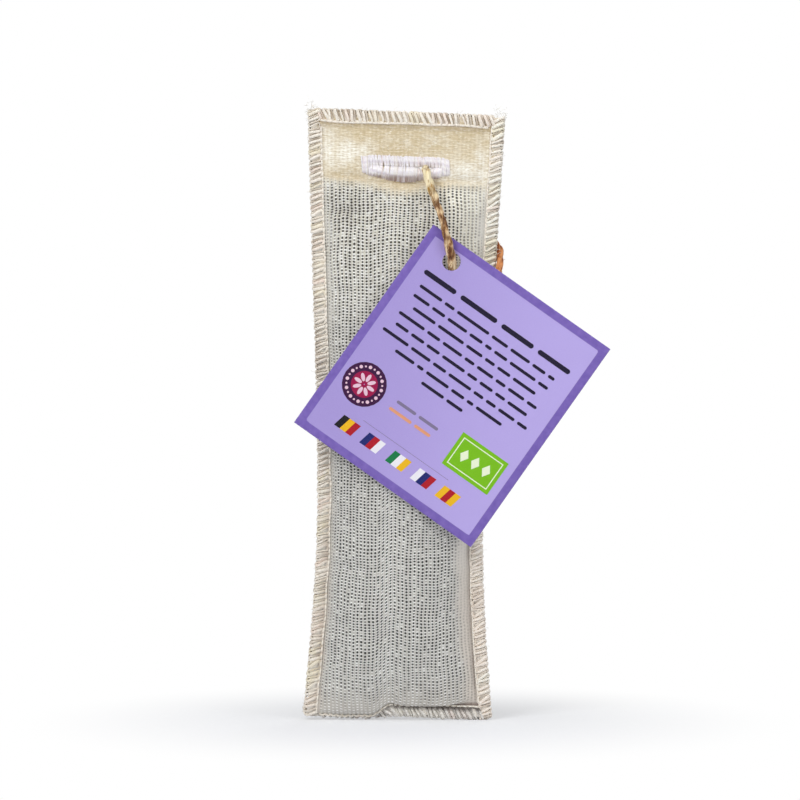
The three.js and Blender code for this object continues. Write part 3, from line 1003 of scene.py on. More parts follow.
def filled_share(across, level):
    """1 where the weave looks closed: in the header, beside the seams and along the fold."""
    wander = ripple(across, level, SHARE_WAVES, STRIP_SEED)
    start = HEADER_START - HEADER_DIP * bump_at(across, *HEADER_DIP_AT)
    header = smooth_step(level + HEADER_WANDER * wander, *(start + fade for fade in HEADER_FADE))
    above = level - outline_bottom + FOLD_WANDER * wander
    below = 1 - FOLD_SHARE * smooth_step(above, *FOLD_HEIGHTS)
    haze = SHOULDER_HAZE * smooth_step(across + wander, *SHOULDER_ACROSS)
    haze = haze * smooth_step(level, *SHOULDER_LEVELS)
    inwards = half_width(level) - OVERLOCK_WIDTH - np.abs(across)
    left, right = SEAM_HAZE_WIDTHS
    gain = SEAM_HAZE_GAIN * smooth_step(-level, *SEAM_HAZE_DOWN)
    reach = np.where(across < 0, left, right + gain) + wander
    beside = 1 - smooth_step(inwards, reach - SEAM_HAZE_FADE, reach)
    haze = np.maximum(haze, SEAM_HAZE * beside)
    haze = np.maximum(haze, LOW_HAZE * smooth_step(-level, *LOW_HAZE_DOWN))
    loss = np.where(across > 0, STRIP_LOSS * smooth_step(-level, *STRIP_LOSS_DOWN), 0)
    closed = np.maximum(np.maximum(header, beside_share(across, level) - loss), below)
    return np.clip(np.maximum(closed, haze), 0, 1)


def cream_share(across, level):
    """1 in the header, whose cloth is creamier, down to where the body starts."""
    start = CREAM_START - HEADER_DIP * bump_at(across, *HEADER_DIP_AT)
    wander = HEADER_WANDER * ripple(across, level, SHARE_WAVES, CREAM_SEED)
    return smooth_step(level + wander, *(start + fade for fade in CREAM_FADE))


def crease_shade_share(across, level):
    """How deep the painted shade is in the creases along the needle threads and under the bottom
    overhang.
    """
    wander = ripple(across, level, CREASE_WAVES, CREASE_SEED)
    inwards = half_width(level) - np.abs(across)
    right = (SIDE_CREASE + SIDE_CREASE_UNEVEN * wander) * smooth_step(-level, *SIDE_CREASE_DOWN)
    side = np.where(across > 0, right, LEFT_CREASE) * bump_at(inwards, *SIDE_CREASE_AT)
    top = (TOP_CREASE + TOP_CREASE_UNEVEN * wander) * bump_at(outline_top - level, *TOP_CREASE_AT)
    above = level - outline_bottom
    bottom = FOLD_CREASE * smooth_step(across, *FOLD_CREASE_ACROSS) * bump_at(above, *FOLD_CREASE_AT)
    return np.clip(np.maximum(np.maximum(side, top), bottom), 0, 1)


def edge_share(across, level):
    """1 on the cloth under the overlock stitches, less at the top and on the left."""
    inwards = np.minimum(half_width(level) - np.abs(across), outline_top - level)
    inwards = np.minimum(inwards, level - outline_bottom)
    edge = 1 - smooth_step(inwards, *(OVERLOCK_WIDTH + fade for fade in EDGE_FADE))
    beside = np.where(across < 0, LEFT_EDGE_SHARE, 1)
    return edge * np.where(outline_top - level < OVERLOCK_WIDTH, TOP_EDGE_SHARE, beside)


def panel(name, side, material):
    """One panel as an open sheet, with the slit left out and its lips drawn to their lines."""
    rows = graded(outline_top - CLOTH_INSET, *PANEL_STRETCHES)[:, None]
    even = np.linspace(-1, 1, PANEL_COLUMNS)
    across = (0.55 * even + 0.45 * np.sin(even * np.pi / 2)) * (half_width(rows) - CLOTH_INSET)
    level = np.broadcast_to(rows, across.shape)
    lower, upper = lips(np.clip(across, -SLIT_REACH, SLIT_REACH), side)
    inside = (level < upper) & (level > lower) & (abs(across) < SLIT_REACH)
    level = np.where(inside, np.where(level > (upper + lower) / 2, upper, lower), level)
    depth = outer_depth(side, across, level) - CLOTH_THICKNESS / 2
    sag = SAG * smooth_step(depth, SEAM_HALF, SEAM_HALF + SAG_DEPTH)
    sag = sag * smooth_step(across, *SAG_ACROSS)
    sag = sag * smooth_step(outline_bottom + SAG_END - level, 0, SAG_END_FADE)
    shift = pushed(side, across, level)
    grid = in_plane(level - sag + shift[..., 1], across + shift[..., 0],
                    side * np.minimum(depth + shift[..., 2], MOST_DEPTH))
    faces = grid_faces(np.arange(level.size).reshape(level.shape))[:, [0, 3, 2, 1]][:, ::side]
    mean_level, mean_across = [places.ravel()[faces].mean(axis=1) for places in (level, across)]
    low, high = lips(mean_across, side)
    in_slit = (low + SLIT_ROOM < mean_level) & (mean_level < high - SLIT_ROOM)
    used, faces = used_points(faces[~(in_slit & (abs(mean_across) < SLIT_REACH))])
    made = make_piece(f"{name}_cloth", grid.reshape(-1, 3)[used], faces, material)
    set_numbers(made, "flat", flat_places(grid).reshape(-1, 3)[used], "FLOAT_VECTOR", "vector")
    dent_shade_patches = [(x, z, deep / FULL_DENT, wide, tall) for x, z, deep, wide, tall in DEEP_DENTS]
    # Numbers for the cloth: pale holds the header's painted light and shade, and the dent and crease
    # numbers hold painted shade
    for key, values in (
            ("filled", filled_share(across, level)),
            ("strip", beside_share(across, level) * smooth_step(-level, *STRIP_DOWN)),
            ("cream", cream_share(across, level)),
            ("pale", patches_at(across, level, HEADER_LIGHT_PATCHES)
             + PALE_UNEVEN * ripple(across, level, PALE_LENGTH, PALE_SEED)),
            ("dent_shade", patches_at(across, level, dent_shade_patches) * (side == FRONT)),
            ("crease_shade", crease_shade_share(across, level)),
            ("edge", edge_share(across, level))):
        set_numbers(made, key, values.ravel()[used])
    thick = made.modifiers.new("thickness", "SOLIDIFY")
    thick.thickness = SHEET_THICKNESS * MM
    thick.offset = 0
    settle(made, "sachet", "cotton_cloth", name)
    tuple(size * MM for size in FLAT_SIZE)


# The filling's grid, how far it stays from the crown's ends, its sides and the cloth, and its
# grains: their depth, size and number of waves
FILLING_ROWS = 110
FILLING_COLUMNS = 44
FILLING_TOP_GAP = 2.5
FILLING_LOW_GAP = 1.2
FILLING_INSET = 1.0
FILLING_GAP = 0.25
LEAST_FILLING = 0.05
GRAIN_DEPTH = 0.25
GRAIN_LENGTH = 3.2
GRAIN_WAVES = 12


def filling(material):
    """The loose seeds: one closed body inside the panels, lumpy with settled grains."""
    top, low = CROWN_TOP - FILLING_TOP_GAP, CROWN_BOTTOM + FILLING_LOW_GAP
    rows = np.linspace(top, low, FILLING_ROWS)[:, None]
    across = np.linspace(-1, 1, FILLING_COLUMNS) * (half_width(rows) - CROWN_INSET - FILLING_INSET)
    level = np.broadcast_to(rows, across.shape)
    sheets = []
    for side in (FRONT, BACK):
        uneven = ripple(across, level, GRAIN_LENGTH, GRAIN_SEED + side, GRAIN_WAVES)
        grains = GRAIN_DEPTH * (1 + uneven)
        depth = outer_depth(side, across, level) + np.minimum(pushed(side, across, level)[..., 2], 0)
        depth = depth - CLOTH_THICKNESS - FILLING_GAP - grains
        sheets.append(in_plane(level, across, side * np.maximum(depth, LEAST_FILLING)).reshape(-1, 3))
    made = make_piece("seed_filling_grains", np.concatenate(sheets), closed_faces(*across.shape)[0],
                      material)
    settle(made, "sachet", "lavender_seed_mix", "seed_filling")


# Seams. A seam runs clockwise seen from the front: station is the distance along its edge,
# and inset the distance in from it.

STITCH_PITCH = 1.68
STITCH_SLANTS = {"left": 1.1, "right": 1.4, "top": 0.95, "bottom": 1.7}
OUTWARDS = {"left": (-1, 0, 0), "right": (1, 0, 0), "top": (0, 0, 1), "bottom": (0, 0, -1)}
LOOPER_RADIUS = 0.38
NEEDLE_RADIUS = 0.27
FUZZ_RADIUS = 0.045
CORNER_FUZZ_RADIUS = 0.05
FUZZ_PER_MM = 1.1
FUZZ_LENGTHS = (0.5, 1.4)
CORNER_FIBRES = 60
CORNER_SPREAD = 1.4
CORNER_LENGTHS = (0.5, 1.3)

# A looper stitch: how far in from the edge its outer end lies, how full its thread is on its
# way out and back, and how much its slant, inner end, rise, outer end and fullness differ
LEG_OUT = 0.22
LEG_FULL = 1.14
LEG_THIN = 0.75
SLANT_SPREAD = 0.28
INNER_SPREAD = 0.12
RISE_SPREAD = 0.08
OUT_SPREAD = 0.07
FULL_SPREAD = 0.17

# How deep in the shade the points of a stitch lie: its way back runs lower, between the others
LEG_SHADES = np.array([0, 0, 0, 0, 0.1, 0.45, 0.8, 0.8, 0.65, 0.25])


def is_long(edge):
    return edge in ("left", "right")


def seam_spot(edge, station, inset):
    """Level and distance across of a place on a seam."""
    if edge == "left":
        level = outline_bottom + station
        return level, inset - half_width(level)
    if edge == "right":
        level = outline_top - station
        return level, half_width(level) - inset
    if edge == "top":
        return outline_top - inset, station - half_width(outline_top)
    return outline_bottom + inset, half_width(outline_bottom) - station


def seam_place(edge, station, inset, y):
    station, inset, y = np.broadcast_arrays(np.asarray(station, float), inset, y)
    return in_plane(*seam_spot(edge, station, inset), y)


def seam_length(edge):
    if is_long(edge):
        return outline_top - outline_bottom
    return 2 * half_width(outline_top if edge == "top" else outline_bottom)


def looper_leg(random, station, pitch, lift, slant):
    """One stitch of the looper thread, out over the band, round the edge and back in lower:
    station, inset, height and thickness of its points."""
    slant = slant * (1 + random.normal(0, SLANT_SPREAD))
    inner = OVERLOCK_WIDTH + random.normal(0, INNER_SPREAD)
    rise = lift + random.normal(0, RISE_SPREAD)
    out = LEG_OUT + random.normal(0, OUT_SPREAD)
    back = 0.5 * pitch
    full = LEG_FULL + random.normal(0, FULL_SPREAD)
    thin = LEG_THIN
    return [
        (station + slant, inner, rise - 0.2, full),
        (station + slant * 0.6, inner * 0.6, rise + 0.14, full),
        (station + slant * 0.15, 0.8, rise, full),
        (station + 0.05, out + 0.05, rise * 0.55, full),
        (station + 0.5 * back, out - 0.15, 0.0, 0.85),
        (station + 0.05 + back, out + 0.1, rise * 0.45, thin),
        (station + slant * 0.15 + back, 0.8, rise - 0.34, thin),
        (station + slant * 0.6 + back, inner * 0.6, rise - 0.26, thin),
        (station + slant + back, inner, rise - 0.3, thin),
        (station + slant + 0.78 * pitch, inner + 0.15, rise - 0.4, 0.9),
    ]


# Overlock: how far from its ends a long seam's stitches start, and how far a short one's go
# into the long seams' bands; the tints of the stitches and how crisp their shade is, each with
# its mean, unevenness and waves; and how both change low on the right edge
LONG_TRIM = 0.4
CORNER_OVERLAP = 0.6
TINT, TINT_UNEVEN, TINT_WAVES, TINT_SPREAD = 0.5, 0.3, 9, 0.16
CRISP, CRISP_UNEVEN, CRISP_WAVES, LEAST_CRISP = 0.75, 0.45, 7, 0.2
LOW_DOWN = (80, 130)
LOW_TINT = 0.5
LOW_CRISP_LOSS = 0.45
STATION_SPREAD = 0.1
BACK_STAGGER = 0.25

# The front of the bottom seam lies in the shade of the overhang, up to this station
OVERHANG_SHADE = 0.9
OVERHANG_INSETS = (1.8, 3.0)
OVERHANG_END, OVERHANG_FADE = 36.0, 8


def overlock(edge, seed, material, needle_material):
    """Looper thread wound over the edge, on both faces, and the needle thread that holds it."""
    random = np.random.default_rng(seed)
    length = seam_length(edge)
    trim = LONG_TRIM if is_long(edge) else OVERLOCK_WIDTH - CORNER_OVERLAP
    count = int((length - 2 * trim) / STITCH_PITCH)
    pitch = (length - 2 * trim) / count
    order = np.arange(count)
    tints = TINT + TINT_UNEVEN * ripple(order, 0, TINT_WAVES, seed)
    tints = np.clip(tints + random.normal(0, TINT_SPREAD, count), 0, 1)
    crisp = CRISP + CRISP_UNEVEN * ripple(order, 0, CRISP_WAVES, seed + 9)
    crisp = np.clip(crisp, LEAST_CRISP, 1)
    if edge == "right":
        low = smooth_step(-seam_spot(edge, trim + order * pitch, 1.0)[0], *LOW_DOWN)
        tints = np.clip(tints + LOW_TINT * low, 0, 1)
        crisp = crisp * (1 - LOW_CRISP_LOSS * low)
    soup = Soup()
    for side in (FRONT, BACK):
        spots = []
        for i in range(count):
            stagger = BACK_STAGGER if side == BACK else 0
            station = trim + (i + stagger) * pitch + random.normal(0, STATION_SPREAD)
            spots += looper_leg(random, station, pitch, SEAM_HALF + LOOPER_RADIUS, STITCH_SLANTS[edge])
        spots = np.array(spots) * (1, 1, side, 1)
        spots[:, 0] = np.clip(spots[:, 0], 0.05, length - 0.05)
        station, inset, height, thick = through(spots, 0.45).T
        uneven = ripple(np.arange(len(station)), 0, 40, seed + 5)
        shade = spread_over(np.outer(crisp, LEG_SHADES).ravel(), len(station))
        if edge == "bottom" and side == FRONT:
            overhung = OVERHANG_SHADE * smooth_step(inset, *OVERHANG_INSETS)
            overhung = overhung * smooth_step(OVERHANG_END - station, 0, OVERHANG_FADE)
            shade = np.maximum(0.5 * shade, overhung)
        soup.tube(seam_place(edge, station, inset, height),
                  LOOPER_RADIUS * thick * (1 + 0.08 * uneven), shade=shade,
                  tint=spread_over(np.repeat(tints, len(LEG_SHADES)), len(station)))
    settle(soup.piece(f"{edge}_overlock_stitches", material), "sachet", "overlock_thread",
           f"{edge}_overlock")
    add_fuzz(edge, length, random, material)
    needle(edge, length, pitch, random, needle_material)


# Needle thread: how far from a seam's ends it starts, the gap between its stitches, how it
# sways on the long seams and the short ones, its heights along a stitch, and how much thicker
# it is at the top
NEEDLE_TRIM = OVERLOCK_WIDTH + 0.6
NEEDLE_GAP = 0.16
NEEDLE_SWAYS = (0.12, 0.35)
NEEDLE_WAVES = 14
NEEDLE_RISE = np.array([-0.25, 0.12, 0.22, 0.22, 0.12, -0.25])
TOP_NEEDLE_SHARE = 1.3


def needle(edge, length, pitch, random, material):
    """The needle thread's stitches in a row along the band's inner edge."""
    count = int((length - 2 * NEEDLE_TRIM) / pitch)
    soup = Soup()
    sway = NEEDLE_SWAYS[0 if is_long(edge) else 1]
    wave = sway * ripple(np.arange(count + 1) * pitch, 0, NEEDLE_WAVES, NEEDLE_SEED + len(edge))
    radius = NEEDLE_RADIUS * (TOP_NEEDLE_SHARE if edge == "top" else 1.0)
    for i in range(count):
        start = NEEDLE_TRIM + i * pitch + NEEDLE_GAP / 2
        stations = np.linspace(start, start + pitch - NEEDLE_GAP, len(NEEDLE_RISE))
        swayed = np.linspace(wave[i], wave[i + 1], len(NEEDLE_RISE))
        insets = NEEDLE_INSET - 0.15 + swayed + random.normal(0, 0.03)
        level, across = seam_spot(edge, stations, insets)
        depth = outer_depth(FRONT, across, level) + NEEDLE_RADIUS * 0.6 + NEEDLE_RISE
        soup.tube(through(in_plane(level, across, -depth), 0.3), radius,
                  tint=np.clip(0.5 + random.normal(0, 0.1), 0, 1))
    settle(soup.piece(f"{edge}_needle_stitches", material), "sachet", "needle_thread",
           f"{edge}_needle_thread")


def hair(start, way, length, random, bend=0.6):
    """A short curved fibre."""
    way = way / np.linalg.norm(way)
    side = unit(np.cross(way, random.normal(size=3)))
    t = np.linspace(0, 1, 6)[:, None]
    curl = random.uniform(-1.5, 1.5) * bend * length
    twist = unit(np.cross(way, side)) * random.uniform(-0.7, 0.7) * bend * length
    return start + way * length * t + side * curl * t ** 2 + twist * t ** 3


def add_fuzz(edge, length, random, material):
    """Loose fibres along an overlocked edge, thickest at the corners."""
    soup = Soup()
    out = np.array(OUTWARDS[edge], float)
    for _ in range(int(length * FUZZ_PER_MM)):
        station = random.uniform(1, length - 1)
        start = seam_place(edge, station, random.uniform(-0.2, 2.5), -random.uniform(0.2, 1.1))
        way = out * random.uniform(0.3, 1.2) + random.normal(0, 0.7, 3) + (0, -0.2, 0)
        soup.tube(hair(start, way, random.uniform(*FUZZ_LENGTHS), random), FUZZ_RADIUS, 3,
                  tint=random.uniform(0.3, 0.7))
    if is_long(edge):
        corner = length - 0.6 if edge == "left" else 0.6
        for _ in range(CORNER_FIBRES):
            start = seam_place(edge, corner + random.normal(0, CORNER_SPREAD),
                               random.uniform(-0.3, 3.2), random.uniform(-1.0, 0.6))
            way = out * random.uniform(0.2, 1) + np.array([0, -0.1, random.uniform(0.0, 0.7)])
            way = way + random.normal(0, 0.5, 3)
            soup.tube(hair(start, way, random.uniform(*CORNER_LENGTHS), random),
                      CORNER_FUZZ_RADIUS, 3, tint=random.uniform(0.4, 0.6))
    settle(soup.piece(f"{edge}_loose_fibres", material), "sachet", "overlock_thread")


# Satin stitches: their thread's radius, their pitch and their rise over the cloth, how high
# and how low they reach, how far they lean, how far they are drawn in towards the ends of the
# slit, and how far and where their lower ends dip
SATIN_RADIUS = 0.24
SATIN_PITCH = 0.4
SATIN_RISE = 0.3
SATIN_TOP = 3.1
SATIN_BOTTOM = -2.6
SATIN_LEAN = 0.15
END_DRAWN_IN = 0.6
END_REACH = 2.5
SATIN_DIP = 2.1
SATIN_DIP_AT = (-0.5, 7.5)

# How deep the shade in a stitch of the lower and the upper lip is, from least to most
LIP_SHADES = {0: (0.35, 1), 1: (-0.8, 0.65)}


def slit_stitching(material):
    """Satin stitches wound round both lips of the slit, and a bar of stitches at each end."""
    random = np.random.default_rng(SATIN_SEED)
    soup = Soup()
    for place in np.arange(-TACK_REACH, TACK_REACH + SATIN_PITCH / 2, SATIN_PITCH):
        across = place + random.normal(0, 0.05)
        lean = SATIN_LEAN + random.normal(0, 0.1)
        drawn_in = END_DRAWN_IN * smooth_step(abs(across), TACK_REACH - END_REACH, TACK_REACH)
        top = SATIN_TOP - drawn_in + random.normal(0, 0.1)
        low = SATIN_BOTTOM + drawn_in - SATIN_DIP * bump_at(across, *SATIN_DIP_AT)
        low = low + random.normal(0, 0.12)
        tint = np.clip(0.5 + random.normal(0, 0.2), 0, 1)
        radius = SATIN_RADIUS * (1 + random.normal(0, 0.1))
        if abs(across) < SLIT_REACH - 0.2:
            for outer, lip in ((top, 1), (low, 0)):
                deep = max(random.uniform(*LIP_SHADES[lip]), 0)
                points, shade = satin_round(across, outer, lip, lean, radius, deep)
                smooth = through(points, 0.35)
                soup.tube(smooth, radius, tint=tint, shade=spread_over(shade, len(smooth)))
            continue
        down = np.linspace(top, low, 9)
        rise = SATIN_RISE * np.sin(np.linspace(0, np.pi, 9))
        for side in (FRONT, BACK):
            depth = outer_depth(side, across, down) + radius * 0.5 + rise
            soup.tube(in_plane(down, across + np.linspace(-lean, lean, 9), side * depth), radius,
                      tint=tint, shade=0)
    settle(soup.piece("slit_satin_stitches", material), "sachet", "slit_thread",
           "hanger_slit_stitching")


def satin_round(across, outer, upper, lean, radius, shading):
    """Points of one stitch, down the front, round a lip and up the back, and its shading."""
    ends = [lips(across, side)[upper] for side in (FRONT, BACK)]
    shifts = across + np.linspace(-lean, lean, 7)
    rise = SATIN_RISE * np.sin(np.linspace(0, np.pi, 7))
    face, rear = [
        in_plane(down, shifts, side * (outer_depth(side, shifts, down) + radius * 0.6 + rise))
        for side, down in zip((FRONT, BACK), (np.linspace(outer, end, 7) for end in ends))]
    way = 1 if upper else -1
    bend = in_plane(np.linspace(*ends, 3) - way * radius, across + lean, np.array([-0.5, 0.0, 0.5]))
    down = np.linspace(outer, ends[0], 7)
    under = smooth_step(-down, -2.1, -0.7) if upper else smooth_step(-down, 2.1, 3.3)
    shade = np.concatenate([under, np.zeros(len(bend) + len(rear))]) * shading
    return np.concatenate([face, bend, rear[::-1]]), shade


# Twine: the route of the loop, from the knot over the slit's lower lip to the
# front, through the tag, round the right edge and back to the knot

TWINE_ROUTE = [
    (12.2, 8.2, -13.0), (10.2, 7.6, -9.6), (8.0, 5.9, -5.2), (6.7, 3.4, -1.75), (6.1, 0.9, -0.7),
    (6.0, -0.6, -0.7), (6.15, -2.6, -1.3), (6.5, -3.95, -2.8), (7.6, -6.7, -6.7),
    (9.2, -9.9, -11.4), (10.6, -12.5, -15.4), (11.6, -13.3, -19.4), (12.6, -13.4, -23.6),
    (13.2, -13.2, -26.1), (13.4, -12.6, -27.5), (13.6, -11.3, -28.9), (13.8, -10.0, -30.2),
    (14.7, -9.1, -32.0), (16.9, -8.4, -34.1), (20.0, -7.0, -35.4), (23.4, -5.0, -35.6),
    (26.2, -3.8, -34.4), (27.8, -2.4, -32.0), (28.2, -0.8, -29.2), (28.4, 0.9, -26.4),
    (27.9, 2.7, -23.8), (25.8, 4.4, -21.8), (22.8, 5.9, -20.2), (19.6, 7.5, -18.4),
]

# Places of the route by number: the two where the loop bends as it lifts, and the tag's hole;
# and how far each bend reaches on from its middle
LIFT_START = 7
LIFT_END = 23
TAG_HOLE = 15
SLIT_BEND_REACH = (0, -1.2, -0.3)
EDGE_BEND_REACH = (0, 1.2, 0.9)

ROPE_STEP = 0.3
PLY_LAY = 15
PLY_RADIUS = 0.64
PLY_OFFSET = 0.52
FIBRE_RADIUS = 0.05
FIBRE_LENGTHS = (0.6, 1.8)

# Where the twine is paler and where it is rustier, and how much fuller or thinner its plies
# are there, in front of the tag's hole and above it
PALE_LEVELS = (-14, -5)
RUST_ACROSS = (23, 28)
PALE_FULLER = 0.16
HOLE_FULLER = 0.28
HOLE_FULLER_AT = (-28, 6)
TWINE_IN_FRONT = -6
WAIST_THINNER = 0.06
WAIST_AT = (-17, 4)


def rope(soup, path, seed, start_turn=0.0, taper=0.0, fibres=3.0):
    """Three plies twisted round a path, with stray fibres standing off."""
    random = np.random.default_rng(seed)
    path = evenly(path, ROPE_STEP)
    normals, binormals = frames_along(path)
    tangents = unit(np.gradient(path, axis=0))
    along = np.arange(len(path)) * ROPE_STEP
    pale = smooth_step(path[:, 2], *PALE_LEVELS) * (path[:, 1] < 0)
    rust = smooth_step(path[:, 0], *RUST_ACROSS)
    at_hole = bump_at(path[:, 2], *HOLE_FULLER_AT)
    full = 1 + PALE_FULLER * pale + HOLE_FULLER * at_hole * (path[:, 1] < TWINE_IN_FRONT)
    full = full - WAIST_THINNER * bump_at(path[:, 2], *WAIST_AT)
    for ply in range(3):
        turn = start_turn + 2 * np.pi * (along / PLY_LAY + ply / 3)
        offset = PLY_OFFSET * (1 + 0.08 * ripple(along, 0, 5, seed + ply)) * full
        line = (path + normals * (offset * np.cos(turn))[:, None]
                + binormals * (offset * np.sin(turn))[:, None])
        radius = PLY_RADIUS * full * (1 + 0.1 * ripple(along, 0, 7, seed + 10 + ply))
        radius = radius * (1 - taper * (along / along[-1]) ** 3)
        soup.tube(line, radius, 8, tint=0.2 + 0.3 * ply, pale=pale, rust=rust)
    for _ in range(int(along[-1] * fibres)):
        i = random.integers(0, len(path))
        way = unit(normals[i] * random.normal() + binormals[i] * random.normal())
        ahead = tangents[i] * random.choice([-1, 1])
        start = path[i] + way * (PLY_OFFSET + 0.4 * PLY_RADIUS)
        fibre = hair(start, way * 0.4 + ahead, random.uniform(*FIBRE_LENGTHS), random, 0.3)
        soup.tube(fibre, FIBRE_RADIUS, 3, tint=random.uniform(0, 1), pale=pale[i], rust=rust[i])


def twine_pieces(material):
    """The two cords of the loop, each one piece along its part of the route."""
    route = through(TWINE_ROUTE, 0.2)
    hole = np.argmin(np.linalg.norm(route - TWINE_ROUTE[TAG_HOLE], axis=1))
    for name, path, seed, bodies, bend, reach, replaced, far_end in (
            ("twine_through_slit", route[:hole + 1], CORD_SEEDS[0], ("sachet", "twine_loop"),
             LIFT_START, SLIT_BEND_REACH, ("twine_rear_upper", "twine_front_loop"), "object"),
            ("twine_round_edge", route[hole:], CORD_SEEDS[1], ("twine_loop", "sachet"),
             LIFT_END, EDGE_BEND_REACH, ("twine_rear_lower",), "knot")):
        soup = Soup()
        rope(soup, path, seed, start_turn=0.4 * seed)
        made = soup.piece(name, material)
        middle, reach = np.array(TWINE_ROUTE[bend]), np.array(reach)
        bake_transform(made)
        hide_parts(*replaced)


KNOT_PLACE = (15.6, 8.6, -15.8)
KNOT_SIZE = 0.95
KNOT_FLATNESS = 0.75
TAIL_WAYS = ((-0.35, -1.0), (0.55, -0.9))
KNOT_FIBRES = 5.0
TAIL_FIBRES = 6.0
TAIL_TAPER = 0.35
FRAYS = 16
FRAY_RADIUS = 0.06
FRAY_LENGTHS = (1.0, 2.6)


def twine_knot(material):
    """An overhand knot of the twine, flat against the back, with two frayed ends."""
    t = np.linspace(0, 2 * np.pi, 90)
    loop = [np.sin(t) + 2 * np.sin(2 * t), -np.sin(3 * t) * KNOT_FLATNESS,
            np.cos(t) - 2 * np.cos(2 * t)]
    soup = Soup()
    rope(soup, np.stack(loop, axis=1) * KNOT_SIZE + KNOT_PLACE, KNOT_SEED, fibres=KNOT_FIBRES)
    for k, (x, z) in enumerate(TAIL_WAYS):
        tail = np.array([(0, 0, 0), (x * 2.5, 0.6, z * 2.5), (x * 5.5, 0.9, z * 5.2),
                         (x * 7.5, 0.4, z * 8.5)]) + KNOT_PLACE
        rope(soup, through(tail, 0.3), TAIL_SEED + k, taper=TAIL_TAPER, fibres=TAIL_FIBRES)
        random = np.random.default_rng(FRAY_SEED + k)
        for _ in range(FRAYS):
            way = np.array([x, 0, z]) + random.normal(0, 0.35, 3)
            fibre = hair(tail[-1] - way * 0.5, way, random.uniform(*FRAY_LENGTHS), random, 0.4)
            soup.tube(fibre, FRAY_RADIUS, 3, tint=random.uniform(0, 1), pale=0, rust=0)
    settle(soup.piece("twine_overhand_knot", material), "sachet", "jute_twine", "twine_knot")


# Tag: spots on it are measured right and down from its top left corner

TAG_WIDTH = 64.1
TAG_HEIGHT = 71.7
TAG_THICKNESS = 0.5
HOLE_RADIUS = 2.7
HOLE_SPOT = (10.7, 5.9)
HOLE_PATCH = 4
LINES_BEFORE_HOLE = (2, 7)
RING_SHARES = (0.4, 0.75, 0.93, 1.0)
BORDER_WIDTH = 2.5
TAG_TURN = math.radians(35.2)
TAG_FRONT = 11.55
CURL_FROM = 35
LOWER_CURL = 1.1
UPPER_CURL = 0.8
WORN_EDGE = 0.09
INK_LIFT = 0.03


def on_tag(right, down, lift=0.0):
    """A place on the tag's front face, which curls a little at its two right corners."""
    right, down = np.broadcast_arrays(np.asarray(right, float), down)
    x = right - HOLE_SPOT[0]
    z = HOLE_SPOT[1] - down
    curl = LOWER_CURL * smooth_step(down, CURL_FROM, TAG_HEIGHT) ** 1.5 * (right / TAG_WIDTH) ** 2
    curl = curl + UPPER_CURL * smooth_step(right, CURL_FROM, TAG_WIDTH) ** 1.5 * (1 - down / TAG_HEIGHT)
    turned_x = x * math.cos(TAG_TURN) + z * math.sin(TAG_TURN)
    turned_z = -x * math.sin(TAG_TURN) + z * math.cos(TAG_TURN)
    hang = TWINE_ROUTE[TAG_HOLE]
    return np.stack([turned_x + hang[0], -TAG_FRONT - curl - lift, turned_z + hang[2]], axis=-1)


def card_lines(middle, size, before, after):
    """Lines of the card's grid one way, closer over the square patch round its hole."""
    return graded(0, (middle - HOLE_PATCH, before), (middle + HOLE_PATCH, 2 * HOLE_PATCH), (size, after))


def card_mesh():
    """Spots and faces of the card: a grid, with rings round the hole inside a square patch."""
    rows = card_lines(HOLE_SPOT[1], TAG_HEIGHT, LINES_BEFORE_HOLE[0], 60)
    columns = card_lines(HOLE_SPOT[0], TAG_WIDTH, LINES_BEFORE_HOLE[1], 50)
    spots = np.stack(np.meshgrid(columns, rows), axis=-1).reshape(-1, 2)
    index = np.arange(len(spots)).reshape(len(rows), len(columns))
    patch = index[tuple(slice(first, first + 2 * HOLE_PATCH + 1) for first in LINES_BEFORE_HOLE)]
    inner = set(patch[:-1, :-1].ravel().tolist())
    faces = [face for face in grid_faces(index).tolist() if face[0] not in inner]
    ring = rim_of(patch)
    outer = spots[ring]
    away = outer - HOLE_SPOT
    circle = HOLE_SPOT + HOLE_RADIUS * away / np.linalg.norm(away, axis=1, keepdims=True)
    for share in RING_SHARES:
        fresh = np.arange(len(spots), len(spots) + len(ring))
        spots = np.concatenate([spots, outer + (circle - outer) * share])
        faces += np.stack([ring, fresh, np.roll(fresh, -1), np.roll(ring, -1)], axis=1).tolist()
        ring = fresh
    used, faces = used_points(faces)
    return spots[used], faces


def tag(front, back, rim):
    """The card itself, with a material for each face and one for its rim."""
    spots, faces = card_mesh()
    right, down = spots.T
    made = make_piece("tag_card", on_tag(right, down), faces, front, back, rim)
    set_numbers(made, "spot", np.stack([right, down, 0 * down], axis=1), "FLOAT_VECTOR", "vector")
    edge = np.minimum(np.minimum(right, TAG_WIDTH - right), np.minimum(down, TAG_HEIGHT - down))
    set_numbers(made, "edge", edge)
    set_numbers(made, "tone", 0.35 + 0.65 * smooth_step(right * 0.7 - down * 0.15, -8, 40))
    thick = made.modifiers.new("thickness", "SOLIDIFY")
    thick.thickness = TAG_THICKNESS * MM
    thick.offset = -1
    thick.material_offset = 1
    thick.material_offset_rim = 2
    soften = made.modifiers.new("worn_edge", "BEVEL")
    soften.width = WORN_EDGE * MM
    soften.segments = 2
    soften.limit_method = "ANGLE"
    settle(made, "tag", "tag_card", "hang_tag")


def print_grid(soup, rights, downs, lift=INK_LIFT):
    """A printed area that follows the card: rows of spots, as a very thin raised layer."""
    rights, downs = np.broadcast_arrays(np.asarray(rights, float), downs)
    layers = [on_tag(rights, downs, height).reshape(-1, 3) for height in (lift, -INK_LIFT)]
    soup.add(np.concatenate(layers), closed_faces(*rights.shape)[0])


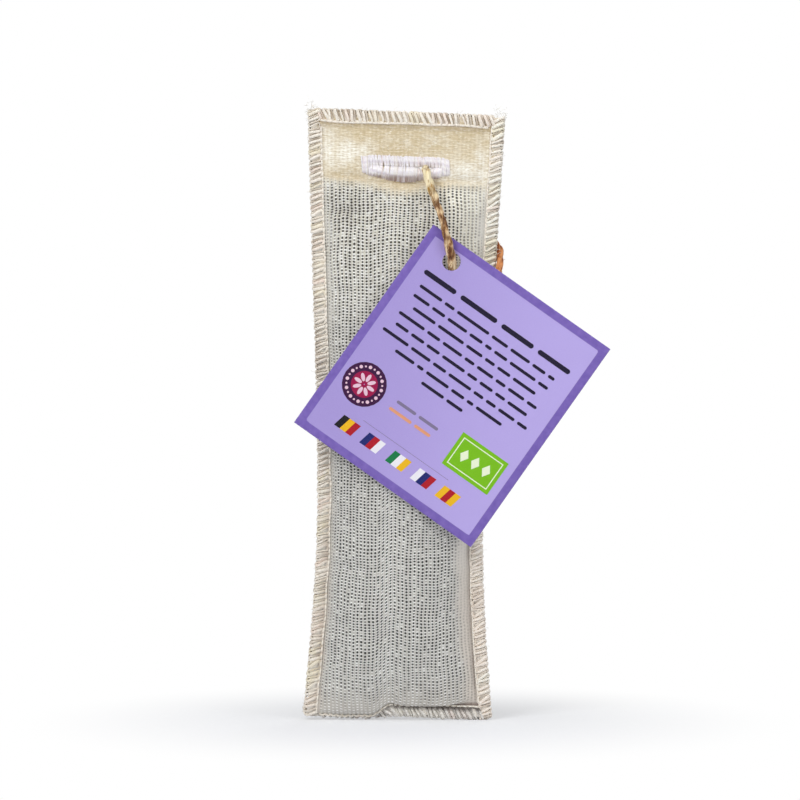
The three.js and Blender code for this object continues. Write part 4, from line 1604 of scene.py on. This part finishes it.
def bar(soup, right, down, width, height):
    """A printed bar with rounded ends."""
    half = height / 2
    columns = graded(0, (half, 3), (width - half, 3), (width, 3))
    into = np.clip(np.minimum(columns, width - columns) / half, 0.03, 1)
    reach = np.sqrt(np.clip(1 - (1 - into) ** 2, 0, 1)) * height / 2
    print_grid(soup, right + columns, down + half + np.array([-1.0, 0.0, 1.0])[:, None] * reach)


def rectangle(soup, right, down, width, height, lift=INK_LIFT, lean=0.0):
    """A printed oblong; lean moves its top to the right."""
    across = np.linspace(0, width, max(2, int(width / 1.5) + 1))
    below = np.linspace(0, 1, max(2, int(height / 1.5) + 1))[:, None]
    print_grid(soup, right + across + lean * (0.5 - below), down + below * height, lift)


def oval(soup, right, down, half_long, half_wide, turn, lift):
    """A printed oval whose long way is turned from the card's own right."""
    shares = np.linspace(0.04, 1, 3)[:, None]
    turns = np.linspace(0, 2 * np.pi, 25)
    along = half_long * shares * np.cos(turns)
    wide = half_wide * shares * np.sin(turns)
    print_grid(soup, right + along * math.cos(turn) - wide * math.sin(turn),
               down + along * math.sin(turn) + wide * math.cos(turn), lift)


# The printed inks and their colours
INKS = {
    "bars": (24, 16, 44), "seal_ground": (58, 16, 62), "seal_middle": (156, 16, 72),
    "seal_petals": (232, 196, 214), "chip_black": (22, 20, 24), "chip_red": (176, 24, 38),
    "chip_gold": (240, 186, 30), "chip_white": (238, 236, 242), "chip_navy": (28, 38, 108),
    "chip_green": (22, 122, 70), "panel_ground": (122, 190, 24), "panel_pattern": (236, 246, 214),
    "grey_marks": (128, 118, 148), "orange_marks": (226, 158, 120),
}

# Lines of plain bars: their lengths, the line's middle and how far down it lies, the size of
# one length, the bars' height and the gap between them
LARGE_LINE = ([7, 8, 7, 7], 32.1, 12.0, 1.64, 1.5, 1.7)
LINE_BARS = [[7, 3, 10, 5, 6, 4, 2], [5, 4, 6, 4, 2, 4, 8, 3], [7, 8, 5, 3, 4, 7],
             [8, 4, 6, 3, 5, 3, 5, 3], [4, 4, 4, 7, 3, 4, 3, 6], [8, 6, 4, 7, 3, 3, 5, 3],
             [6, 2, 7, 4, 2, 8], [7, 5]]
LINES_MIDDLE = 31.5
LINES_DOWN = 16.55
LINE_PITCH = 3.32
LINE_SIZES = (1.156, 0.95, 1.0)
GREY_LINE = ([6, 6], 28.8, 48.5, *LINE_SIZES)
ORANGE_LINE = ([7, 5], 28.0, 51.4, *LINE_SIZES)
RULE = (16.5, 59.3, 30.7, 0.12)


def bars(soup, lengths, middle, down, step, height, gap):
    """A centred line of plain bars."""
    right = middle - (sum(lengths) * step + gap * (len(lengths) - 1)) / 2
    for length in lengths:
        bar(soup, right, down, length * step - 0.1, height)
        right += length * step + gap


def print_lines(inks):
    """A line of large bars and eight of small ones, two faint short lines, and a thin rule."""
    bars(inks["bars"], *LARGE_LINE)
    for k, lengths in enumerate(LINE_BARS):
        bars(inks["bars"], lengths, LINES_MIDDLE, LINES_DOWN + k * LINE_PITCH, *LINE_SIZES)
    bars(inks["grey_marks"], *GREY_LINE)
    bars(inks["orange_marks"], *ORANGE_LINE)
    rectangle(inks["grey_marks"], *RULE)


SEAL_SPOT = (10.57, 50.5)
SEAL_RADIUS = 6.67
SEAL_MIDDLE = 0.6
PETAL_LONG = 0.19
PETAL_WIDE = 0.085
BEADS = 24
BEAD_RADII = (0.3, 0.52)
PETALS = 8


def on_seal(turn, share):
    """A spot at a share of the seal's radius."""
    reach = SEAL_RADIUS * share
    return SEAL_SPOT[0] + reach * math.cos(turn), SEAL_SPOT[1] + reach * math.sin(turn)


def print_seal(inks):
    """A plum disc with a beaded ring and a rosette of eight petals."""
    oval(inks["seal_ground"], *SEAL_SPOT, SEAL_RADIUS, SEAL_RADIUS, 0, INK_LIFT)
    middle = SEAL_RADIUS * SEAL_MIDDLE
    oval(inks["seal_middle"], *SEAL_SPOT, middle, middle, 0, 2 * INK_LIFT)
    lift = 3 * INK_LIFT
    for k in range(BEADS):
        radius = BEAD_RADII[k % 2]
        oval(inks["seal_petals"], *on_seal(k * 2 * math.pi / BEADS, 0.8), radius, radius, 0, lift)
    for k in range(PETALS):
        turn = k * 2 * math.pi / PETALS
        oval(inks["seal_petals"], *on_seal(turn, 0.33), SEAL_RADIUS * PETAL_LONG,
             SEAL_RADIUS * PETAL_WIDE, turn, lift)


CHIP_WIDTH = 5.93
CHIP_HEIGHT = 4.15
CHIP_DOWN = 63.3
CHIP_LEAN = 0.9

# Each chip's middle, and its bands from left to right
CHIPS = [(13.5, ("black", "gold", "red")), (22.6, ("navy", "red", "white")),
         (31.9, ("green", "white", "gold")), (40.9, ("white", "navy", "red")),
         (49.8, ("gold", "red", "gold"))]


def print_chips(inks):
    """Five small colour chips, each of three slanting bands."""
    band = CHIP_WIDTH / 3
    for middle, names in CHIPS:
        for k, name in enumerate(names):
            rectangle(inks[f"chip_{name}"], middle + (k - 1.5) * band, CHIP_DOWN - CHIP_HEIGHT / 2,
                      band, CHIP_HEIGHT, lean=CHIP_LEAN)


PANEL_SPOT = (42.7, 45.1)
PANEL_WIDTH = 16.4
PANEL_HEIGHT = 11.26
FRAME_INSET = 1.1
FRAME_LINE = 0.3
DIAMOND_PITCH = 3.9
DIAMOND_WIDE = 1.4
DIAMOND_TALL = 2.1


def print_green_panel(inks):
    """A green panel with a pale frame and three pale diamonds."""
    rectangle(inks["panel_ground"], *PANEL_SPOT, PANEL_WIDTH, PANEL_HEIGHT)
    pattern = inks["panel_pattern"]
    right, down = (side + FRAME_INSET for side in PANEL_SPOT)
    wide, tall = PANEL_WIDTH - 2 * FRAME_INSET, PANEL_HEIGHT - 2 * FRAME_INSET
    lift = 2 * INK_LIFT
    for below in (down, down + tall - FRAME_LINE):
        rectangle(pattern, right, below, wide, FRAME_LINE, lift)
    for across in (right, right + wide - FRAME_LINE):
        rectangle(pattern, across, down + FRAME_LINE, FRAME_LINE, tall - 2 * FRAME_LINE, lift)
    y = PANEL_SPOT[1] + PANEL_HEIGHT / 2
    for k in (-1, 0, 1):
        x = PANEL_SPOT[0] + PANEL_WIDTH / 2 + k * DIAMOND_PITCH
        print_grid(pattern, [[x, x + DIAMOND_WIDE], [x - DIAMOND_WIDE, x]],
                   [[y - DIAMOND_TALL, y], [y, y + DIAMOND_TALL]], lift)


def tag_prints():
    """All that is printed on the tag: each ink is a piece of its own."""
    inks = {name: Soup() for name in INKS}
    for draw in (print_lines, print_seal, print_chips, print_green_panel):
        draw(inks)
    for name, colour in INKS.items():
        printed = inks[name].piece(f"tag_{name}", ink_material(f"tag_{name}_ink", colour), smooth=False)
        settle(printed, "tag", "tag_card")


# Stage and light: the floor's shading fades to plain white between two distances from the
# object, and the soft boxes have a place, a size and a power in watts

FLOOR_REACH = 3000
FADE_START = 20
FADE_END = 120
LEAST_FADE = 0.34
WORLD_LIGHT = 0.35
AIM_BELOW_TOP = 60
WHITE = (255, 255, 255)
LAMPS = [
    ("key", (-330, -480, 330), 300, 1.95),
    ("fill", (560, -620, 60), 420, 1.25),
    ("top", (60, -160, 520), 300, 0.8),
    ("rear", (260, 640, 300), 420, 0.9),
]


def seen_directly(nodes):
    """1 for rays from the camera, or seen in a mirror or through glass, and 0 for light."""
    camera, glossy, through_glass = [nodes.value("LightPath", output=f"Is {kind} Ray")
                                     for kind in ("Camera", "Glossy", "Transmission")]
    return nodes.math("MAXIMUM", nodes.math("MAXIMUM", camera, glossy), through_glass)


def add_floor():
    """A white floor that keeps the shadow and fades to plain white away from the object."""
    lowest = cad_corners[0][2] / MM
    corners = ((-1, -1), (1, -1), (1, 1), (-1, 1))
    points = [(x * FLOOR_REACH, y * FLOOR_REACH, lowest) for x, y in corners]
    m = Material("floor_white", roughness=1.0, specular=0.0)
    m.colour((246, 248, 253))
    x, y, _ = m.split(m.place())
    away = m.math("SQRT", x ** 2.0 + y ** 2.0)
    fade = m.range(away, FADE_START, FADE_END, LEAST_FADE) * seen_directly(m)
    glow = m.node("Emission", {"Color": WHITE, "Strength": 1.0})
    both = m.node("MixShader", {0: fade, 1: m.shader.outputs[0], 2: glow.outputs[0]})
    m.feed(m.tree.nodes["Material Output"].inputs["Surface"], both.outputs[0])
    make_piece("floor", points, [[0, 1, 2, 3]], m.data, smooth=False)


def add_world():
    """White behind the object, and a softer even light on it."""
    world = bpy.data.worlds.new("studio")
    bpy.context.scene.world = world
    world.use_nodes = True
    nodes = Nodes(world.node_tree)
    background = nodes.tree.nodes["Background"]
    nodes.feed(background.inputs["Color"], WHITE)
    strength = nodes.range(seen_directly(nodes), 0.0, 1.0, WORLD_LIGHT)
    nodes.feed(background.inputs["Strength"], strength)


def add_lamps():
    aim = np.array([0, 0, outline_top - AIM_BELOW_TOP])
    for name, place, size, power in LAMPS:
        lamp = add_object(name, bpy.data.lights.new(name, "AREA"))
        lamp.data.size = size * MM
        lamp.data.energy = power
        lamp.location = [c * MM for c in place]
        way = Vector((aim - place).tolist())
        lamp.rotation_euler = way.to_track_quat("-Z", "Y").to_euler()


add_camera()

jute = jute_material()
twine_pieces(jute)
twine_knot(jute)

blown = blow_up()
cloth = cloth_material()
panel("front_panel", FRONT, cloth)
panel("back_panel", BACK, cloth)
filling(seed_material())

# The thread of each edge: its light fibres, its dark ones and their colour in the painted shade; the
# right edge's copy is lighter, as painted light on that side
EDGE_THREADS = {
    "left": thread_material("overlock_thread", (255, 250, 239), (228, 216, 200), (184, 168, 151)),
    "right": thread_material("lit_right_overlock_thread", (255, 255, 246), (244, 236, 220),
                             (194, 179, 160), straw=0.45),
    "top": thread_material("top_overlock_thread", (255, 250, 239), (228, 216, 200), (160, 140, 118)),
    "bottom": thread_material("low_overlock_thread", (250, 247, 241), (196, 188, 178),
                              (92, 82, 76), straw=0.1),
}
needle_thread = thread_material("needle_thread", (255, 250, 240), (226, 214, 196))
for seed, (edge, edge_thread) in enumerate(EDGE_THREADS.items(), OVERLOCK_SEED):
    overlock(edge, seed, edge_thread, needle_thread)
slit_stitching(thread_material("slit_thread", (255, 253, 254), (222, 215, 226), (150, 122, 108)))

tag(card_material("tag_front", (147, 128, 200), (179, 162, 229), (98, 76, 163)),
    card_material("tag_back", (214, 208, 226), (224, 219, 234)),
    card_material("tag_rim", (92, 74, 140), (110, 92, 158)))
tag_prints()

add_floor()
add_world()
add_lamps()
bpy.context.scene.view_settings.view_transform = "Standard"
